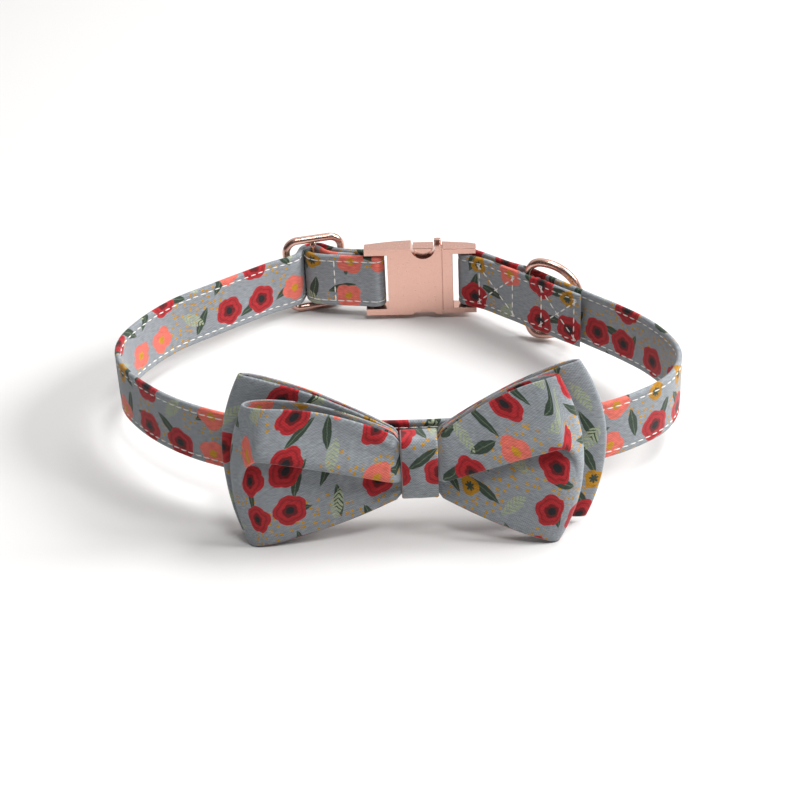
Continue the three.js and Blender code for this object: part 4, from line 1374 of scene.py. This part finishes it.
# %% Band and pad
BAND_WIDTH = 10.0
BAND_WALL = 1.0
BAND_HALF_HEIGHT = 10.6
BAND_FRONT_Y = -55.75
BAND_SWELL = 0.7
BAND_DEEP, BAND_HIGH = 0.32, 0.5
BAND_STEPS, BAND_ROWS = 96, 17
BAND_CREASE = 0.18
PAD_WIDTH = 8.0
PAD_HEIGHT = 12.0
PAD_ROUND = 0.45
PAD_CLOTH_UP = 300.0


def bow_band():
    half_depth = (BAND_BACK_Y - BAND_FRONT_Y - BAND_WALL) / 2
    middle_y = (BAND_BACK_Y + BAND_FRONT_Y) / 2
    half_height = BAND_HALF_HEIGHT - BAND_WALL / 2
    shares = [row / (BAND_ROWS - 1) for row in range(BAND_ROWS)]
    grid, flats = [], []
    around, edge = CLOTH_OFFSETS["band"]
    for i in range(BAND_STEPS):
        angle = math.tau * i / BAND_STEPS
        sine, cosine = math.sin(angle), math.cos(angle)
        out = math.copysign(abs(cosine) ** BAND_DEEP, cosine)
        high = math.copysign(abs(sine) ** BAND_HIGH, sine)
        column = []
        for across in (mix(-1, 1, share) for share in shares):
            shift = 0.0
            if cosine < 0:
                crease = noise.noise(Vector((across * 1.4, angle * 1.1, 5.0)))
                swell = (1 - across * across) * cosine * cosine
                shift = BAND_CREASE * crease - BAND_SWELL * swell
            column.append(Vector((
                BOW_MIDDLE_X + across * BAND_WIDTH / 2,
                middle_y + half_depth * out + shift,
                PINCH_MIDDLE_Z + half_height * high,
            )))
        if grid:
            around += (column[0] - grid[-1][0]).length
        grid.append(column)
        flats.append([(edge + share * BAND_WIDTH, around) for share in shares])
    return cloth_tube("bow_band_cloth", grid, BAND_WALL, flats)


def bow_pad():
    """The pad behind the band, as a small block of rubbery elastic with soft edges."""
    front, back = BAND_BACK_Y + GAP, STRAP_BEHIND_BOW_Y - STRAP_THICKNESS / 2 - GAP
    half_wide, half_high = PAD_WIDTH / 2, PAD_HEIGHT / 2
    corners = [
        (BOW_MIDDLE_X + x * half_wide, y, PINCH_MIDDLE_Z + z * half_high)
        for y in (front, back) for x, z in ((-1, -1), (1, -1), (1, 1), (-1, 1))
    ]
    faces = [(0, 1, 2, 3), (7, 6, 5, 4), (0, 4, 5, 1), (1, 5, 6, 2), (2, 6, 7, 3), (3, 7, 4, 0)]
    places = [[(corners[i][0], corners[i][2] + PAD_CLOTH_UP) for i in face] for face in faces]
    made = piece_from("bow_pad_elastic", corners, faces, places)
    soften = made.modifiers.new("soft edges", "BEVEL")
    soften.width = PAD_ROUND * MM
    soften.segments = 3
    as_mesh(made)
    made.data.materials.append(cotton)
    return made


band = bow_band()
pad = bow_pad()
for piece in (band, pad):
    print(piece.name, "has", len(piece.data.polygons), "faces")

# %% [markdown]
# ## Stand-ins, bodies and cloth
# Each piece now takes the place of its plain solid and moves with its body. Only the leash ring
# moves on its own: it swivels on its bar, which the strap holds. The two loops and the band are
# cut from flat cloth, so their cut sizes are stated.

# %% What replaces what
for piece, node, body, slot in (
    (strap, "collar_strap", COLLAR, "printed_cloth"),
    (slider, "slider", COLLAR, "rose_gold_metal"),
    (housing, "buckle_housing", COLLAR, "rose_gold_metal"),
    (insert, "buckle_insert", COLLAR, "rose_gold_metal"),
    (ring, "d_ring", LEASH_RING, "rose_gold_metal"),
    (bow_front, "bow_front", COLLAR, "printed_cloth"),
    (bow_back, "bow_back", COLLAR, "printed_cloth"),
    (band, "bow_band", COLLAR, "printed_cloth"),
    (pad, "bow_pad", COLLAR, "printed_cloth"),
):
    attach(piece, body)
    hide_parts(node)
for row in (edge_stitches, box_stitches):
    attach(row, COLLAR)

# %% Cloth sizes


def cut_area(made):
    """The area of the cloth in a closed wall: half of its whole surface."""
    return sum(face.area for face in made.data.polygons) / 2


for piece, length, width in (
    (bow_front, 0.215, 0.050), (bow_back, 0.225, 0.047), (band, 0.058, 0.010),
):
    print(piece.name, "area", round(cut_area(piece) * 1e6), "mm2 of", round(length * width * 1e6))

# %% [markdown]
# ## The photograph's stage
# A white table with three soft lights. One stands on the right, at the height of a window, and
# draws the soft shadows that fall to the left. One hangs above and behind, and puts the bow's
# own shadow in front of it. A weaker one hangs high in front, so that the cloth below the pleat
# lies in the pleat's shadow. The room is bright above and behind, and dark at its horizon and
# towards the camera. The dark horizon draws the thin dark lines on the polished metal, and the
# dark front leaves cloth that faces the camera deeper in tone than cloth that faces up. The
# camera looks down at the bow from the front.

# %% The table
TABLE_HALF = 6.0


def white_table():
    mesh = bpy.data.meshes.new("table")
    signs = ((-1, -1), (1, -1), (1, 1), (-1, 1))
    corners = [(x * TABLE_HALF, y * TABLE_HALF, 0) for x, y in signs]
    mesh.from_pydata(corners, [], [(0, 1, 2, 3)])
    made = add_object("table", mesh)
    material, tree = new_material("white_paper")
    paper = add_node(
        tree, "ShaderNodeBsdfPrincipled",
        {"Base Color": linear("#e4e3e2"), "Roughness": 0.9, "Specular IOR Level": 0.1},
    )
    add_node(tree, "ShaderNodeOutputMaterial", {0: paper})
    mesh.materials.append(material)
    return made


white_table()
print("the table is", 2 * TABLE_HALF, "m wide")

# %% The lights
LIT_PLACE = (0, 0, 0.02)
# Where each light hangs, its width, both in metres, and its power in watts
LIGHTS = {
    "overhead": ((0.45, 0.3, 1.02), 0.4, 4.6),
    "side": ((1.05, -0.03, 0.74), 0.5, 17.0),
    "front": ((0.25, -0.38, 1.2), 0.3, 4.7),
}


def soft_light(name, place, size, watts):
    light = bpy.data.lights.new(name, "AREA")
    light.shape = "DISK"
    light.size = size
    light.energy = watts
    made = add_object(name, light)
    made.location = place
    way = Vector(LIT_PLACE) - Vector(place)
    made.rotation_euler = way.to_track_quat("-Z", "Y").to_euler()


for name, (place, size, watts) in LIGHTS.items():
    soft_light(name, place, size, watts)
    print(f"{name} light: {size} m wide, {watts} W")

# %% The room
WORLD_STRENGTH = 0.95
world = bpy.data.worlds.new("white room")
bpy.context.scene.world = world
world.use_nodes = True
room = world.node_tree
room.nodes.clear()
way = add_node(room, "ShaderNodeTexCoord")
direction = add_node(room, "ShaderNodeSeparateXYZ", {0: way.outputs["Generated"]})
# How the light fades downwards, to the left and to the front
ceiling, window_side, back_wall = (
    add_node(
        room, "ShaderNodeMapRange", {"Value": direction.outputs[axis], **limits},
        interpolation_type="SMOOTHSTEP",
    )
    for axis, limits in (
        (2, {"From Min": 0.06, "From Max": 0.36, "To Min": 0.04}),
        (0, {"From Min": -0.8, "From Max": 0.6, "To Min": 0.7}),
        (1, {"From Min": -0.25, "From Max": 0.6, "To Min": 0.12, "To Max": 1.35}),
    )
)
sides = add_node(room, MATH, {0: window_side, 1: back_wall}, operation="MULTIPLY")
brightness = add_node(room, MATH, {0: ceiling, 1: sides}, operation="MULTIPLY")
strength = add_node(room, MATH, {0: brightness, 1: WORLD_STRENGTH}, operation="MULTIPLY")
surround = add_node(
    room, "ShaderNodeBackground", {"Color": linear("#f6f5f4"), "Strength": strength})
add_node(room, "ShaderNodeOutputWorld", {0: surround})
bpy.context.scene.view_settings.view_transform = "Standard"
print("the room has", len(room.nodes), "nodes")

# %% Camera
CAMERA_SLOPE = math.radians(31.576)
CAMERA_DISTANCE = 554.0
CAMERA_ROLL = math.radians(-2.42)
LENS = 76.88
SENSOR = 36.0


def photo_camera():
    back = Vector((0, -math.cos(CAMERA_SLOPE), math.sin(CAMERA_SLOPE)))
    up = Vector((0, math.sin(CAMERA_SLOPE), math.cos(CAMERA_SLOPE)))
    across = Vector((1, 0, 0))
    cos_roll, sin_roll = math.cos(CAMERA_ROLL), math.sin(CAMERA_ROLL)
    right = across * cos_roll + up * sin_roll
    top = up * cos_roll - across * sin_roll
    data = bpy.data.cameras.new("photo_camera")
    data.lens = LENS
    data.sensor_width = SENSOR
    data.clip_start = 0.01
    made = add_object("photo_camera", data)
    axes = Matrix((tip @ right, tip @ top, tip @ back)).transposed()
    made.matrix_world = Matrix.Translation(on_table(back * CAMERA_DISTANCE)) @ axes.to_4x4()
    bpy.context.scene.camera = made
    return made


camera = photo_camera()
print("the camera stands at", [round(v, 3) for v in camera.matrix_world.translation])
